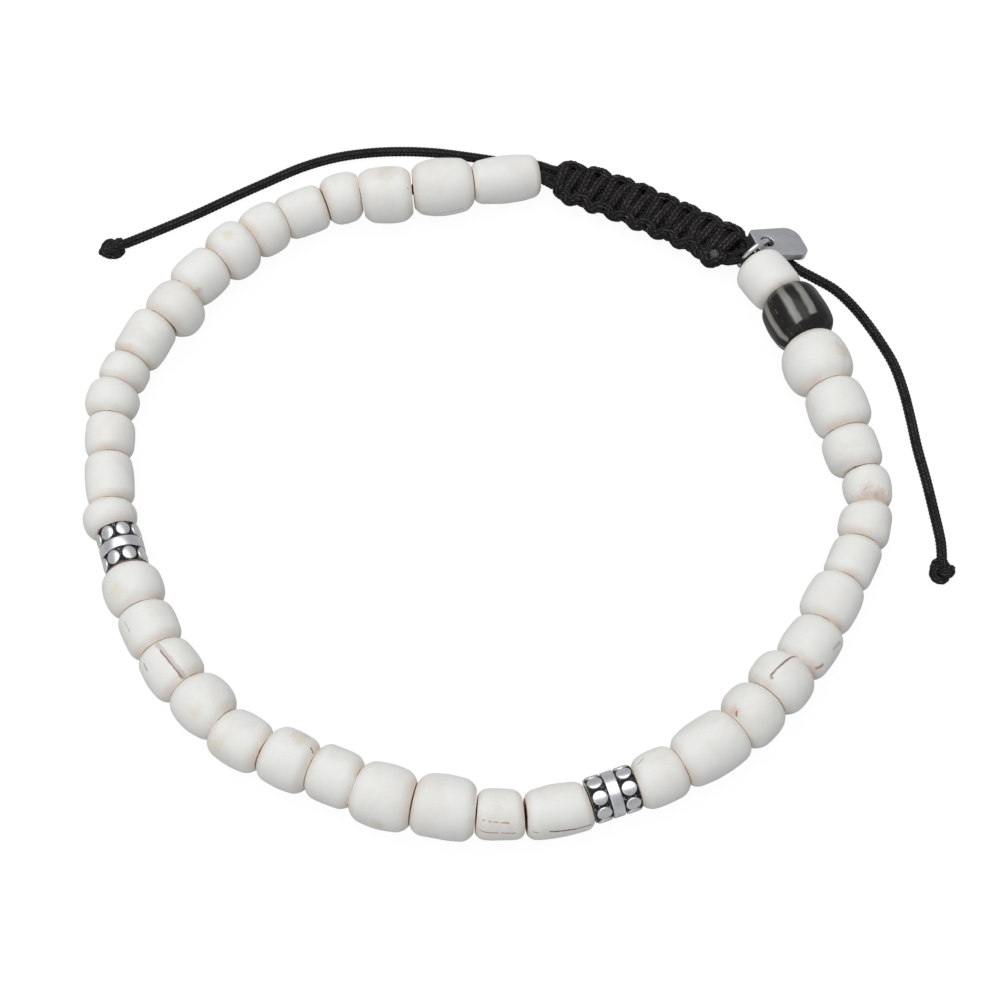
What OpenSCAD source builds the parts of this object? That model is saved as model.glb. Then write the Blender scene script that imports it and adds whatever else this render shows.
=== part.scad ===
// Beaded anklet: matt white beads, one striped bead and two silver spacers strung on a black
// braided cord, closed by a sliding knotted band. It lies flat; Z is up, Y points at the band
// and the origin is under the middle of the loop.

/* [Cord] */
// Diameter of the braided cord
cord_d = 1.2; // [1:0.05:1.3]
// Diameter of the hole drilled along each bead
bore_d = 1.5; // [1.45:0.05:1.7]

/* [Beads] */
// Clear gap where the rims of two neighbouring beads meet
rim_gap = 0.06; // [0.04:0.01:0.12]
// Scale of every bead's width
width_scale = 1; // [0.95:0.01:1.05]

/* [Silver spacers] */
// Diameter over the smooth band and the studs
spacer_d = 4.8; // [4.6:0.1:5.2]
// Depth of the sunk ground between band and studs
spacer_sink = 0.22; // [0.15:0.01:0.3]
// Width of the smooth band round the middle
spacer_band_w = 1.2; // [0.9:0.1:1.3]
// Diameter of each flat stud
stud_d = 1.45; // [1.2:0.05:1.5]
// Studs in each of the two rows
stud_count = 8; // [6:1:8]
// Distance of a row of studs from the spacer's middle
stud_row = 1.55; // [1.5:0.05:1.6]

/* [Knotted band] */
// Width over the turns of the knots, half way along
band_w = 6; // [5.4:0.1:6.2]
// Thickness of the band
band_t = 3.3; // [2.8:0.1:3.5]
// Number of square knots along the band
band_knots = 8; // [7:1:9]
// Depth of the notch between two turns
band_notch = 0.4; // [0.2:0.05:0.5]
// Bare cord between the last bead and the band
left_bare = 2.4; // [2:0.1:2.6]
// Bare cord between the band and the first bead
right_bare = 3.3; // [3.1:0.1:3.5]

/* [Tag] */
// Length of the tag
tag_len = 6; // [5.6:0.1:6.2]
// Width of the tag
tag_w = 4.1; // [3.9:0.1:4.1]
// Thickness of the tag
tag_t = 0.9; // [0.8:0.05:0.95]
// Diameter of the hole in the tag
tag_hole_d = 1.6; // [1.4:0.1:1.8]
// Distance from the hole's middle to the tag's near edge
tag_hole_edge = 1.6; // [1.5:0.1:1.7]
// Radius of the far corner on the outer side
tag_far_r = 1.5; // [1:0.1:2]
// Radius of the tag's other three corners
tag_near_r = 0.5; // [0.3:0.1:0.8]

/* [Jump ring] */
// Diameter of the ring's wire
ring_wire = 0.5; // [0.4:0.05:0.55]
// Mean diameter of the ring
ring_d = 4.1; // [4:0.1:4.3]

/* [Cord ends] */
// Diameter of the knot at the end of each tail
knot_d = 2.8; // [2.6:0.1:3]

/* [Hidden] */
// Forms of bead: radius of the side and of the rims, each as a share of the width
TUBE = [3.0, 0.20];
BARREL = [1.1, 0.25];
ROUND = [0.68, 0.25];
SPACER = [];

// Beads in order from the right end of the band: length, width, form, swell and offset.
// Swell is the distance of the fattest place from the bead's middle towards the next bead;
// offset is the distance of the bead's own axis from its hole, away from the loop's middle
BEADS = [
    [5.3, 6.1, TUBE, 0, 0],
    [6.1, 7.2, BARREL, 0, 0.3],
    [6.0, 7.7, ROUND, 0.2, -0.2],
    [5.5, 6.8, BARREL, 0.2, 0],
    [4.7, 6.2, BARREL, 0, -0.2],
    [3.8, 5.3, ROUND, 0, 0.3],
    [4.0, 5.6, BARREL, 0, 0.1],
    [4.8, 5.4, TUBE, 0, 0],
    [5.5, 6.0, BARREL, 0, -0.2],
    [5.5, 6.0, BARREL, 0, 0.2],
    [4.5, 6.8, ROUND, 0, 0],
    [4.5, 6.7, ROUND, 0, 0],
    [6.7, 6.5, BARREL, -0.6, 0],
    [4.7, 5.8, BARREL, -0.2, 0.1],
    [5.0, 4.8, SPACER, 0, 0],
    [6.3, 5.4, TUBE, 0, 0.2],
    [4.5, 5.3, TUBE, 0, 0],
    [6.0, 6.6, BARREL, 0, -0.3],
    [5.8, 6.7, BARREL, 0, -0.1],
    [4.8, 6.0, BARREL, 0, -0.4],
    [5.1, 6.3, BARREL, 0, 0],
    [5.1, 5.9, BARREL, 0, 0.5],
    [5.3, 6.4, ROUND, 0, -0.1],
    [5.0, 6.1, BARREL, 0, 0],
    [4.7, 6.1, BARREL, 0, -0.1],
    [4.5, 6.5, ROUND, 0, 0],
    [5.0, 4.8, SPACER, 0, 0],
    [3.1, 5.8, ROUND, 0, 0.5],
    [5.6, 5.4, TUBE, 0, 0],
    [4.5, 5.5, BARREL, 0, -0.2],
    [3.7, 5.9, ROUND, 0, 0.1],
    [3.3, 5.4, BARREL, 0, 0.1],
    [5.2, 5.7, TUBE, 0, 0.1],
    [4.3, 6.7, ROUND, 0, -0.5],
    [5.2, 5.9, BARREL, 0, 0.2],
    [4.4, 6.6, ROUND, 0, 0],
    [4.3, 6.0, BARREL, 0, 0],
    [5.0, 5.5, TUBE, 0, 0],
    [3.9, 5.8, BARREL, 0, 0.1],
    [5.8, 6.7, BARREL, 0, -0.5],
    [6.9, 6.7, BARREL, 0, 0],
    [7.7, 5.6, TUBE, 0, 0]
];
STRIPED_ROW = 1;
// How far the foot of each stud starts outside the hole
STUD_SINK = 0.4;

// Plan of the loop, clockwise from the first bead's start; the band closes it
LOOP = [
    [31, 26.5], [36, 16.5], [40, 4], [41.5, -4.5], [38.5, -13], [33.5, -21.5],
    [25.5, -30.5], [15.5, -36], [3.5, -39], [-8, -38], [-18.5, -34], [-28, -28.5],
    [-34.5, -20.5], [-38.5, -11], [-41, -1.5], [-41.5, 8], [-38.5, 16], [-32.5, 24.5],
    [-24.5, 32], [-15, 36], [-4, 37], [6, 39], [15, 36.5], [24.5, 31.5]
];
LOOP_STEPS = 16;

// Height of the band's centre line at its two ends and at its middle
BAND_END_Z = 2.3;
BAND_MID_Z = 1.8;

// Route of the left tail: it leaves the band beside the string and lies on the surface
LEFT_TAIL = [
    [7.4, 40.8, 1.6], [6.8, 41.5, 1], [6, 42, 0.65], [4, 42.3, 0.62],
    [1.5, 42.6, 0.62], [-2, 43.2, 0.62], [-6, 43.8, 0.62], [-10, 44, 0.62],
    [-14, 43.8, 0.62], [-18, 43.1, 0.62], [-22, 41.7, 0.62], [-26, 39.6, 0.62],
    [-30, 37.4, 0.62], [-34, 35.1, 0.62], [-38, 33, 0.62], [-41, 31.4, 0.75]
];
LEFT_KNOT = [-43.3, 29.8, 1.4];

// Route of the right tail: it passes under the tag and round the outside of the loop
RIGHT_TAIL = [
    [30.8, 29.9, 1.6], [31.6, 30.6, 1], [32.7, 30.5, 0.65], [34.2, 29.4, 0.62],
    [36.2, 27.5, 0.62], [38.3, 26.1, 0.62], [40.3, 24.7, 0.62], [42, 22.8, 0.62],
    [43.6, 20.4, 0.62], [45.1, 17.6, 0.62], [46.4, 14.6, 0.62], [47.2, 11.2, 0.62],
    [47.7, 7.6, 0.62], [48.1, 4, 0.62], [48.7, 0.2, 0.62], [49.2, -3.6, 0.62],
    [49.6, -7, 0.62], [49.6, -8.6, 0.75]
];
RIGHT_KNOT = [49.3, -11.2, 1.4];

// Clear gaps: a tail beside the string, its end before its knot, cords before the band's ends,
// and the fattest beads above the surface
CORD_CLEAR = 0.1;
KNOT_CLEAR = 0.05;
END_CLEAR = 0.08;
SURFACE_CLEAR = 0.02;
// Straight start of each tail beside the string
TAIL_LEAD = 0.7;
CORD_SIDES = 8;
BARE_STEPS = 4;
ARC_FN = 48;
RIM_FN = 32;

// The ring loops round the bare cord before the first bead; the tag hangs on it, its near side
// and its hole end raised, and leans on the right tail
RING_BACK = 1.4;
RING_LEAN = 10;
TAG_HOLE = [32.5, 29.6, 2.6];
TAG_TURN = [-9, 19, 17];

bead_count = len(BEADS);
function bead_length(k) = BEADS[k][0];
function bead_width(k) = BEADS[k][1] * (is_spacer(k) ? 1 : width_scale);
function bead_form(k) = BEADS[k][2];
function bead_swell(k) = BEADS[k][3];
function bead_offset(k) = is_spacer(k) ? 0 : BEADS[k][4];
function is_spacer(k) = len(BEADS[k][2]) == 0;
function bead_name(k) =
    k == STRIPED_ROW ? "striped_bead"
    : is_spacer(k) ? (k < bead_count / 2 ? "spacer_right" : "spacer_left")
    : str(k < 9 ? "bead_0" : "bead_", k + 1);

// Rim circle of a bead at its near end (side -1) or its far end (side 1): its radius and place
function rim_r(k) = bead_form(k)[1] * bead_width(k);
function crown_r(k) = bead_form(k)[0] * bead_width(k);
function rim_y(k, side) = side * (bead_length(k) / 2 - rim_r(k));
function rim_x(k, side) =
    bead_width(k) / 2 - crown_r(k)
    + sqrt(pow(crown_r(k) - rim_r(k), 2) - pow(rim_y(k, side) - bead_swell(k), 2));
function crown_end(k, side) =
    bead_swell(k) + (rim_y(k, side) - bead_swell(k)) * crown_r(k) / (crown_r(k) - rim_r(k));
function flat_r(k, side) = is_spacer(k) ? spacer_d / 2 - spacer_sink : rim_x(k, side);

// A point of a smooth curve between b and c, with a and d as the points beyond them
function smooth(a, b, c, d, t) =
    0.5 * (2 * b + (c - a) * t + (2 * a - 5 * b + 4 * c - d) * pow(t, 2)
        + (3 * b - a - 3 * c + d) * pow(t, 3));
function wrap(i, n) = (i + n) % n;
loop_knots = len(LOOP);
loop_line = [
    for (i = [0 : loop_knots - 1], j = [0 : LOOP_STEPS - 1])
        smooth(LOOP[wrap(i - 1, loop_knots)], LOOP[i], LOOP[wrap(i + 1, loop_knots)],
            LOOP[wrap(i + 2, loop_knots)], j / LOOP_STEPS)
];
loop_points = len(loop_line);
loop_run = [
    for (i = 0, s = 0; i <= loop_points;
        s = s + norm(loop_line[wrap(i + 1, loop_points)] - loop_line[wrap(i, loop_points)]), i = i + 1) s
];
loop_length = loop_run[loop_points];

// The loop's point and its heading at a distance s from the first bead's start
function loop_index(s) = len([for (r = loop_run) if (r <= s) r]) - 1;
function loop_at(s) =
    let (
        i = min(loop_index(s), loop_points - 1),
        t = (s - loop_run[i]) / (loop_run[i + 1] - loop_run[i])
    )
    loop_line[i] * (1 - t) + loop_line[wrap(i + 1, loop_points)] * t;
function heading(s) =
    let (d = loop_at(min(s + 0.5, loop_length)) - loop_at(max(s - 0.5, 0))) atan2(d.y, d.x);
function turn_between(a, b) = abs(wrap(heading(b) - heading(a) + 180, 360) - 180);

// Height of the hole where two beads meet, so that the fatter one just clears the surface
function meet_z(k) =
    max(bead_width(max(k - 1, 0)), bead_width(min(k, bead_count - 1))) / 2 + SURFACE_CLEAR;
function bead_tilt(k) = asin((meet_z(k + 1) - meet_z(k)) / bead_length(k));

// Gap after a bead: its rim closes on the inner side of the bend, so a sharp bend needs more
function rim_reach(k, side) = flat_r(k, side) + abs(bead_offset(k));
function gap_after(k, s) =
    k >= bead_count - 1 ? 0
    : let (
        middle = s + bead_length(k) / 2,
        next = s + bead_length(k) + bead_length(k + 1) / 2,
        turn = norm([turn_between(middle, next), bead_tilt(k + 1) - bead_tilt(k)]) * PI / 180
    )
    rim_gap + min(rim_reach(k, 1), rim_reach(k + 1, -1)) * turn + turn * turn;
bead_start = [
    for (k = 0, s = 0; k < bead_count; s = s + bead_length(k) + gap_after(k, s), k = k + 1) s
];
beads_end = bead_start[bead_count - 1] + bead_length(bead_count - 1);
band_from = beads_end + left_bare;
band_to = loop_length - right_bare;

// Height of the band's centre line
function band_z(t) = BAND_MID_Z + (BAND_END_Z - BAND_MID_Z) * pow(2 * t - 1, 2);
function raised(p, z) = [p.x, p.y, z];

// Ends of bead k's hole, and the string's own line through all the holes
function hole_start(k) = raised(loop_at(bead_start[k]), meet_z(k));
function hole_end(k) = raised(loop_at(bead_start[k] + bead_length(k)), meet_z(k + 1));
function eased(a, b, t) = a + (b - a) * t * t * (3 - 2 * t);
bare_right = [
    for (i = [0 : BARE_STEPS - 1])
        let (t = i / BARE_STEPS)
        raised(
            loop_at(band_to + END_CLEAR + (right_bare - END_CLEAR) * t),
            eased(band_z(1), meet_z(0), t)
        )
];
bare_left = [
    for (i = [1 : BARE_STEPS])
        let (t = i / BARE_STEPS)
        raised(
            loop_at(beads_end + (left_bare - END_CLEAR) * t),
            eased(meet_z(bead_count), band_z(0), t)
        )
];
string_line = concat(
    bare_right,
    [hole_start(0)],
    [for (k = [1 : bead_count - 1]) (hole_end(k - 1) + hole_start(k)) / 2],
    [hole_end(bead_count - 1)],
    bare_left
);

// Rings of points along a line; each ring stands square to the line, its X across and Y up
function along(line, i) =
    let (d = line[min(i + 1, len(line) - 1)] - line[max(i - 1, 0)]) d / norm(d);
function across(forward) = let (d = cross(forward, [0, 0, 1])) d / norm(d);
function set_on(line, i, section) =
    let (forward = along(line, i), side = across(forward), up = cross(side, forward))
    [for (p = section) line[i] + p.x * side + p.y * up];
function circle_points(r, n) =
    [for (j = [0 : n - 1]) let (a = 360 * (j + 0.5) / n) r * [cos(a), sin(a)]];
function cord_rings(line) =
    [for (i = [0 : len(line) - 1]) set_on(line, i, circle_points(cord_d / 2, CORD_SIDES))];

// A tail leaves the band's end beside the string, follows its route and ends just before its knot
function beside(s, z) =
    raised(loop_at(s) + (cord_d + CORD_CLEAR) * [-sin(heading(s)), cos(heading(s))], z);
function before_knot(p, knot) = knot + (p - knot) / norm(p - knot) * (knot_d / 2 + KNOT_CLEAR);
function tail_line(s, way, z, route, knot) =
    concat(
        [beside(s, z), beside(s + way * TAIL_LEAD, z)],
        route,
        [before_knot(route[len(route) - 1], knot)]
    );
left_tail_line = tail_line(band_from - END_CLEAR, -1, band_z(0), LEFT_TAIL, LEFT_KNOT);
right_tail_line = tail_line(band_to + END_CLEAR, 1, band_z(1), RIGHT_TAIL, RIGHT_KNOT);

// Rings of the knotted band: one swelling for each knot, a little wider towards the first bead
BAND_STEPS = 6;
BAND_SIDES = 12;
BAND_SQUARE = 0.75;
BAND_FLARE = 0.3;
BAND_ROUND = 0.5;
band_last = band_knots * BAND_STEPS;
band_line = [
    for (i = [0 : band_last])
        let (t = i / band_last) raised(loop_at(band_from + (band_to - band_from) * t), band_z(t))
];
function squared(v) = sign(v) * pow(abs(v), BAND_SQUARE);
function band_section(i) =
    let (
        notch = band_notch * (1 - abs(sin(180 * i / BAND_STEPS))),
        rounding = i == 0 || i == band_last ? BAND_ROUND : 0,
        flare = BAND_FLARE * (2 * i / band_last - 1),
        half_w = (band_w + flare) / 2 - notch - rounding,
        half_t = (band_t - notch - rounding) / 2
    )
    [
        for (j = [0 : BAND_SIDES - 1])
            let (a = 360 * (j + 0.5) / BAND_SIDES) [half_w * squared(cos(a)), half_t * squared(sin(a))]
    ];
band_rings = [for (i = [0 : band_last]) set_on(band_line, i, band_section(i))];

// The bare cord at the ring, and the ring's middle in line with it and the tag's hole
ring_s = loop_length - RING_BACK;
ring_cord = raised(loop_at(ring_s), eased(band_z(1), meet_z(0), 1 - RING_BACK / right_bare));
ring_way = (TAG_HOLE - ring_cord) / norm(TAG_HOLE - ring_cord);
ring_middle = TAG_HOLE - ring_way * ring_d / 2;

// Solid through closed rings of points that all have the same number of corners
module swept(rings) {
    n = len(rings[0]);
    last = len(rings) - 1;
    corner = function(i, j) i * n + j % n;
    polyhedron(
        points = [for (ring = rings) each ring],
        faces = concat(
            [[for (j = [n - 1 : -1 : 0]) corner(0, j)]],
            [
                for (i = [0 : last - 1], j = [0 : n - 1])
                    [corner(i, j), corner(i + 1, j + 1), corner(i + 1, j)]
            ],
            [
                for (i = [0 : last - 1], j = [0 : n - 1])
                    [corner(i, j), corner(i, j + 1), corner(i + 1, j + 1)]
            ],
            [[for (j = [0 : n - 1]) corner(last, j)]]
        ),
        convexity = 10
    );
}

// Stands its children, drawn along Z round the origin, on the line from one point to another
module between(from, to) {
    d = to - from;
    translate((from + to) / 2)
        rotate([0, acos(d.z / norm(d)), atan2(d.y, d.x)])
            children();
}

// Half section of a bead without its hole: an arc along its side and a smaller one at each rim
module bead_half(k) {
    w = bead_width(k);
    l = bead_length(k);
    intersection() {
        union() {
            intersection() {
                translate([w / 2 - crown_r(k), bead_swell(k)]) circle(crown_r(k), $fn = ARC_FN);
                translate([0, crown_end(k, -1)]) square([w, crown_end(k, 1) - crown_end(k, -1)]);
            }
            for (side = [-1, 1]) {
                translate([rim_x(k, side), rim_y(k, side)]) circle(rim_r(k), $fn = RIM_FN);
                translate([0, side < 0 ? -l / 2 : 0]) square([rim_x(k, side), l / 2]);
            }
        }
        translate([0, -l]) square([w, 2 * l]);
    }
}

module bore(k) {
    cylinder(h = 2 * bead_length(k), d = bore_d, center = true, $fn = RIM_FN);
}

module bead(k) {
    between(hole_start(k), hole_end(k))
        difference() {
            translate([0, bead_offset(k), 0]) rotate_extrude($fn = ARC_FN) bead_half(k);
            bore(k);
        }
}

// Flat studs in a ring round the spacer; each keeps a little of the curve it stands on
module stud_ring(y) {
    stud_foot = bore_d / 2 + STUD_SINK;
    for (i = [0 : stud_count - 1])
        rotate([0, 0, 360 * i / stud_count])
            translate([stud_foot, 0, y])
                rotate([0, 90, 0])
                    cylinder(h = spacer_d / 2 - stud_foot, d = stud_d, $fn = RIM_FN);
}

module spacer(k) {
    between(hole_start(k), hole_end(k))
        difference() {
            union() {
                cylinder(h = bead_length(k), r = spacer_d / 2 - spacer_sink, center = true, $fn = ARC_FN);
                cylinder(h = spacer_band_w, d = spacer_d, center = true, $fn = ARC_FN);
                stud_ring(-stud_row);
                stud_ring(stud_row);
            }
            bore(k);
        }
}

module bead_node(k) {
    if (is_spacer(k))
        color("silver") spacer(k);
    else
        color(k == STRIPED_ROW ? "#2b2b2b" : "#ece9e2") bead(k);
}

module string() {
    color("#161616") swept(cord_rings(string_line));
}

module knot_band() {
    color("#1c1b1b") swept(band_rings);
}

module tail(line) {
    color("#161616") swept(cord_rings(line));
}

module left_tail() {
    tail(left_tail_line);
}

module right_tail() {
    tail(right_tail_line);
}

module tail_knot(place) {
    color("#161616") translate(place) sphere(d = knot_d, $fn = RIM_FN);
}

module left_tail_knot() {
    tail_knot(LEFT_KNOT);
}

module right_tail_knot() {
    tail_knot(RIGHT_KNOT);
}

module jump_ring() {
    color("silver")
        translate(ring_middle)
            rotate([0, -asin(ring_way.z), atan2(ring_way.y, ring_way.x)])
                rotate([90 + RING_LEAN, 0, 0])
                    rotate_extrude($fn = ARC_FN)
                        translate([ring_d / 2, 0]) circle(d = ring_wire, $fn = RIM_FN);
}

// What a rounded corner takes off a square one that stands at the origin
module corner_cut(r) {
    difference() {
        translate([-r, -r]) square(2 * r);
        translate([r, r]) circle(r, $fn = ARC_FN);
        translate([r, -2 * r]) square(4 * r);
        translate([-2 * r, r]) square(4 * r);
    }
}

module tag_outline() {
    far = tag_len - tag_hole_edge;
    difference() {
        translate([-tag_hole_edge, -tag_w / 2]) square([tag_len, tag_w]);
        translate([-tag_hole_edge, -tag_w / 2]) corner_cut(tag_near_r);
        translate([-tag_hole_edge, tag_w / 2]) rotate(-90) corner_cut(tag_near_r);
        translate([far, -tag_w / 2]) rotate(90) corner_cut(tag_near_r);
        translate([far, tag_w / 2]) rotate(180) corner_cut(tag_far_r);
        circle(d = tag_hole_d, $fn = RIM_FN);
    }
}

module tag() {
    color("#b9bbc0")
        translate(TAG_HOLE)
            rotate(TAG_TURN)
                linear_extrude(tag_t, center = true) tag_outline();
}

for (k = [0 : bead_count - 1])
    bead_node(k);
string();
knot_band();
left_tail();
left_tail_knot();
right_tail();
right_tail_knot();
jump_ring();
tag();
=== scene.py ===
import math
from collections import namedtuple
from contextlib import contextmanager

import bpy
import numpy as np
from bpy.props import FloatProperty, FloatVectorProperty, IntProperty, PointerProperty
from mathutils import Matrix, Vector


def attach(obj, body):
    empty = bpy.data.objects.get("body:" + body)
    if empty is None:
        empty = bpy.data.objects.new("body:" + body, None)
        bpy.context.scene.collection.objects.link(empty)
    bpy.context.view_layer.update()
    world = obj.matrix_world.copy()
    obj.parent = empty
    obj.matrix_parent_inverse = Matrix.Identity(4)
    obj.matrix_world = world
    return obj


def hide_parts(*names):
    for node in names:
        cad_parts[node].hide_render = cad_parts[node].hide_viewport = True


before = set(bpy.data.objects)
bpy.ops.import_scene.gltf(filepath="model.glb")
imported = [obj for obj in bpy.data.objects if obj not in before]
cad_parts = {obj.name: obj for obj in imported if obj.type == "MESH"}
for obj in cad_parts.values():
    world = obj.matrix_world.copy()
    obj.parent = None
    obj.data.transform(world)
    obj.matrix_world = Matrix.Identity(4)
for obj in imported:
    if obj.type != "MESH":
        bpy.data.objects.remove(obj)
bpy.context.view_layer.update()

bl_info = {
    "name": "Beaded anklet",
    "version": (1, 0, 0),
    "blender": (4, 5, 0),
    "location": "3D View > Sidebar > Anklet",
    "description": "Beads, silver spacers, knotted cord and tag of a beaded anklet",
    "category": "Mesh",
}

MM = 0.001

# Plan of the loop, clockwise from the first bead's start, in millimetres
LOOP = [
    (31, 26.5), (36, 16.5), (40, 4), (41.5, -4.5), (38.5, -13), (33.5, -21.5),
    (25.5, -30.5), (15.5, -36), (3.5, -39), (-8, -38), (-18.5, -34), (-28, -28.5),
    (-34.5, -20.5), (-38.5, -11), (-41, -1.5), (-41.5, 8), (-38.5, 16), (-32.5, 24.5),
    (-24.5, 32), (-15, 36), (-4, 37), (6, 39), (15, 36.5), (24.5, 31.5),
]
LOOP_STEPS = 16

# Radius of a bead's side and of its rims, each as a share of its width
TUBE = (3.0, 0.20)
BARREL = (1.1, 0.25)
ROUND = (0.68, 0.25)
SPACER = None

# Beads in order from the band's right end: length, width, form, swell and offset
BEAD_ROWS = [
    (5.3, 6.1, TUBE, 0, 0), (6.1, 7.2, BARREL, 0, 0.3), (6.0, 7.7, ROUND, 0.2, -0.2),
    (5.5, 6.8, BARREL, 0.2, 0), (4.7, 6.2, BARREL, 0, -0.2), (3.8, 5.3, ROUND, 0, 0.3),
    (4.0, 5.6, BARREL, 0, 0.1), (4.8, 5.4, TUBE, 0, 0), (5.5, 6.0, BARREL, 0, -0.2),
    (5.5, 6.0, BARREL, 0, 0.2), (4.5, 6.8, ROUND, 0, 0), (4.5, 6.7, ROUND, 0, 0),
    (6.7, 6.5, BARREL, -0.6, 0), (4.7, 5.8, BARREL, -0.2, 0.1), (5.0, 4.8, SPACER, 0, 0),
    (6.3, 5.4, TUBE, 0, 0.2), (4.5, 5.3, TUBE, 0, 0), (6.0, 6.6, BARREL, 0, -0.3),
    (5.8, 6.7, BARREL, 0, -0.1), (4.8, 6.0, BARREL, 0, -0.4), (5.1, 6.3, BARREL, 0, 0),
    (5.1, 5.9, BARREL, 0, 0.5), (5.3, 6.4, ROUND, 0, -0.1), (5.0, 6.1, BARREL, 0, 0),
    (4.7, 6.1, BARREL, 0, -0.1), (4.5, 6.5, ROUND, 0, 0), (5.0, 4.8, SPACER, 0, 0),
    (3.1, 5.8, ROUND, 0, 0.5), (5.6, 5.4, TUBE, 0, 0), (4.5, 5.5, BARREL, 0, -0.2),
    (3.7, 5.9, ROUND, 0, 0.1), (3.3, 5.4, BARREL, 0, 0.1), (5.2, 5.7, TUBE, 0, 0.1),
    (4.3, 6.7, ROUND, 0, -0.5), (5.2, 5.9, BARREL, 0, 0.2), (4.4, 6.6, ROUND, 0, 0),
    (4.3, 6.0, BARREL, 0, 0), (5.0, 5.5, TUBE, 0, 0), (3.9, 5.8, BARREL, 0, 0.1),
    (5.8, 6.7, BARREL, 0, -0.5), (6.9, 6.7, BARREL, 0, 0), (7.7, 5.6, TUBE, 0, 0),
]
OTHER_NAMES = {2: "striped_bead", 15: "spacer_right", 27: "spacer_left"}
Bead = namedtuple("Bead", "name length width form swell offset")
BEADS = [Bead(OTHER_NAMES.get(n, f"bead_{n:02d}"), *row) for n, row in enumerate(BEAD_ROWS, 1)]
RIM_GAP = 0.06
# Radius of the hole and of its worn mouth, and width of the end face's softened edge
BORE_R, MOUTH_R, FACE_EDGE = 0.75, 0.9, 0.06
# Size in metres of a bead's uneven bumps, and their height as a multiple of the setting
UNEVEN_SIZE, UNEVEN_GAIN = 0.0036, 2.4
# Where a bead's rim stops turning in and meets the flat end
RIM_EDGE = math.radians(67)
# Fuller sides of the finished beads, and those of the squarest ones
WORN = {BARREL: (1.5, 0.225), ROUND: (0.72, 0.25), TUBE: (3.0, 0.19)}
SQUARE = (2.2, 0.21)
SQUARE_BEADS = (13, 18, 20, 25)
# Width of the joints, and of those that stand a little open, by the bead before them
JOINT_GAP = 0.05
JOINT_GAPS = {15: 0.12, 16: 0.30, 17: 0.16, 18: 0.14, 21: 0.12, 38: 0.14, 40: 0.20, 41: 0.12}

# Spacer: the radius of its raised band and of its ground, and the studs' rows
SPACER_R, GROUND_R = 4.8 / 2, 4.8 / 2 - 0.22
STUD_ROW = 1.55

LEFT_BARE, RIGHT_BARE = 2.4, 3.3
BAND_END_Z, BAND_MID_Z = 2.3, 1.8
BAND_KNOTS = 8
END_CLEAR = 0.08

# Routes of the two tails beyond the band, and the middles of their knots
LEFT_TAIL = [
    (7.4, 40.8, 1.6), (6.8, 41.5, 1), (6, 42, 0.65), (4, 42.3, 0.62),
    (1.5, 42.6, 0.62), (-2, 43.2, 0.62), (-6, 43.8, 0.62), (-10, 44, 0.62),
    (-14, 43.8, 0.62), (-18, 43.1, 0.62), (-22, 41.7, 0.62), (-26, 39.6, 0.62),
    (-30, 37.4, 0.62), (-34, 35.1, 0.62), (-38, 33, 0.62), (-41, 31.4, 0.75),
]
LEFT_KNOT = (-43.3, 29.8, 1.4)
RIGHT_TAIL = [
    (30.8, 29.9, 1.6), (31.6, 30.6, 1), (32.7, 30.5, 0.65), (34.2, 29.4, 0.62),
    (36.2, 27.5, 0.62), (38.3, 26.1, 0.62), (40.3, 24.7, 0.62), (42, 22.8, 0.62),
    (43.6, 20.4, 0.62), (45.1, 17.6, 0.62), (46.4, 14.6, 0.62), (47.2, 11.2, 0.62),
    (47.7, 7.6, 0.62), (48.1, 4, 0.62), (48.7, 0.2, 0.62), (49.2, -3.6, 0.62),
    (49.6, -7, 0.62), (49.6, -8.6, 0.75),
]
RIGHT_KNOT = (49.3, -11.2, 1.4)
KNOT_D = 2.8
CORD_D = 1.2
BRAID_COLUMNS = 8
# Stitches of the braid: slant across a column, squareness along it, and fall to its edges
STITCH_SLANT, STITCH_SQUARE, STITCH_FALL = 0.7, 2.4, 0.85
# Steps along the lines of the tails, the knots and stub, the band's strands, cores, loose ends
TAIL_STEP, KNOT_STEP, STRAND_STEP, CORE_STEP, LOOSE_STEP = 0.075, 0.07, 0.085, 0.12, 0.08
CORD_CLEAR = 0.1
TAIL_LEAD = 0.7
# How far a tail's line runs on into its knot
KNOT_SINK = 0.25

# Ring: diameter to the middle of its wire, distance from the first bead, and lean in degrees
RING_D, RING_BACK, RING_LEAN = 4.1, 1.4, 10
# Tag: middle of its hole, turns in degrees, thickness, the hole's radius and the edges' softening
TAG_HOLE = (32.5, 29.6, 2.6)
TAG_TURN = (-9, 19, 17)
TAG_THICKNESS, TAG_HOLE_R, TAG_SOFTENING = 0.9, 0.8, 0.09
# Tag's corners round its hole: along, across, radius, and where the corner starts in degrees
TAG_CORNERS = [(4.75, -2.5, 1.2, -90), (4.75, 2.05, 1.7, 0), (-1.6, 2.05, 0.5, 90),
               (-1.6, -2.05, 0.5, 180)]
TAG_STEPS = 120

# View: the point looked at in millimetres, the lens and the film's width
VIEW_MIDDLE, LENS, FILM = (1.65, -3.6, 3.0), 74.52, 36
# Lights: place and size in metres, tilt, and the front light's share of the power
OVERHEAD_PLACE, OVERHEAD_SIZE, OVERHEAD_TILT = (-0.12, 0.10, 0.55), (0.66, 0.52), -9
FRONT_PLACE, FRONT_SIZE, FRONT_SHARE = (-0.20, -0.42, 0.24), 0.4, 0.13


# ---------------------------------------------------------------- lines


def smooth(a, b, c, d, t):
    """Point of a smooth curve between b and c, with a and d beyond them."""
    return 0.5 * (2 * b + (c - a) * t + (2 * a - 5 * b + 4 * c - d) * t**2
                  + (3 * b - a - 3 * c + d) * t**3)


def run_along(line):
    """Distance of each point of a line from its first."""
    return np.concatenate([[0], np.cumsum(np.linalg.norm(np.diff(line, axis=0), axis=1))])


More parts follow.
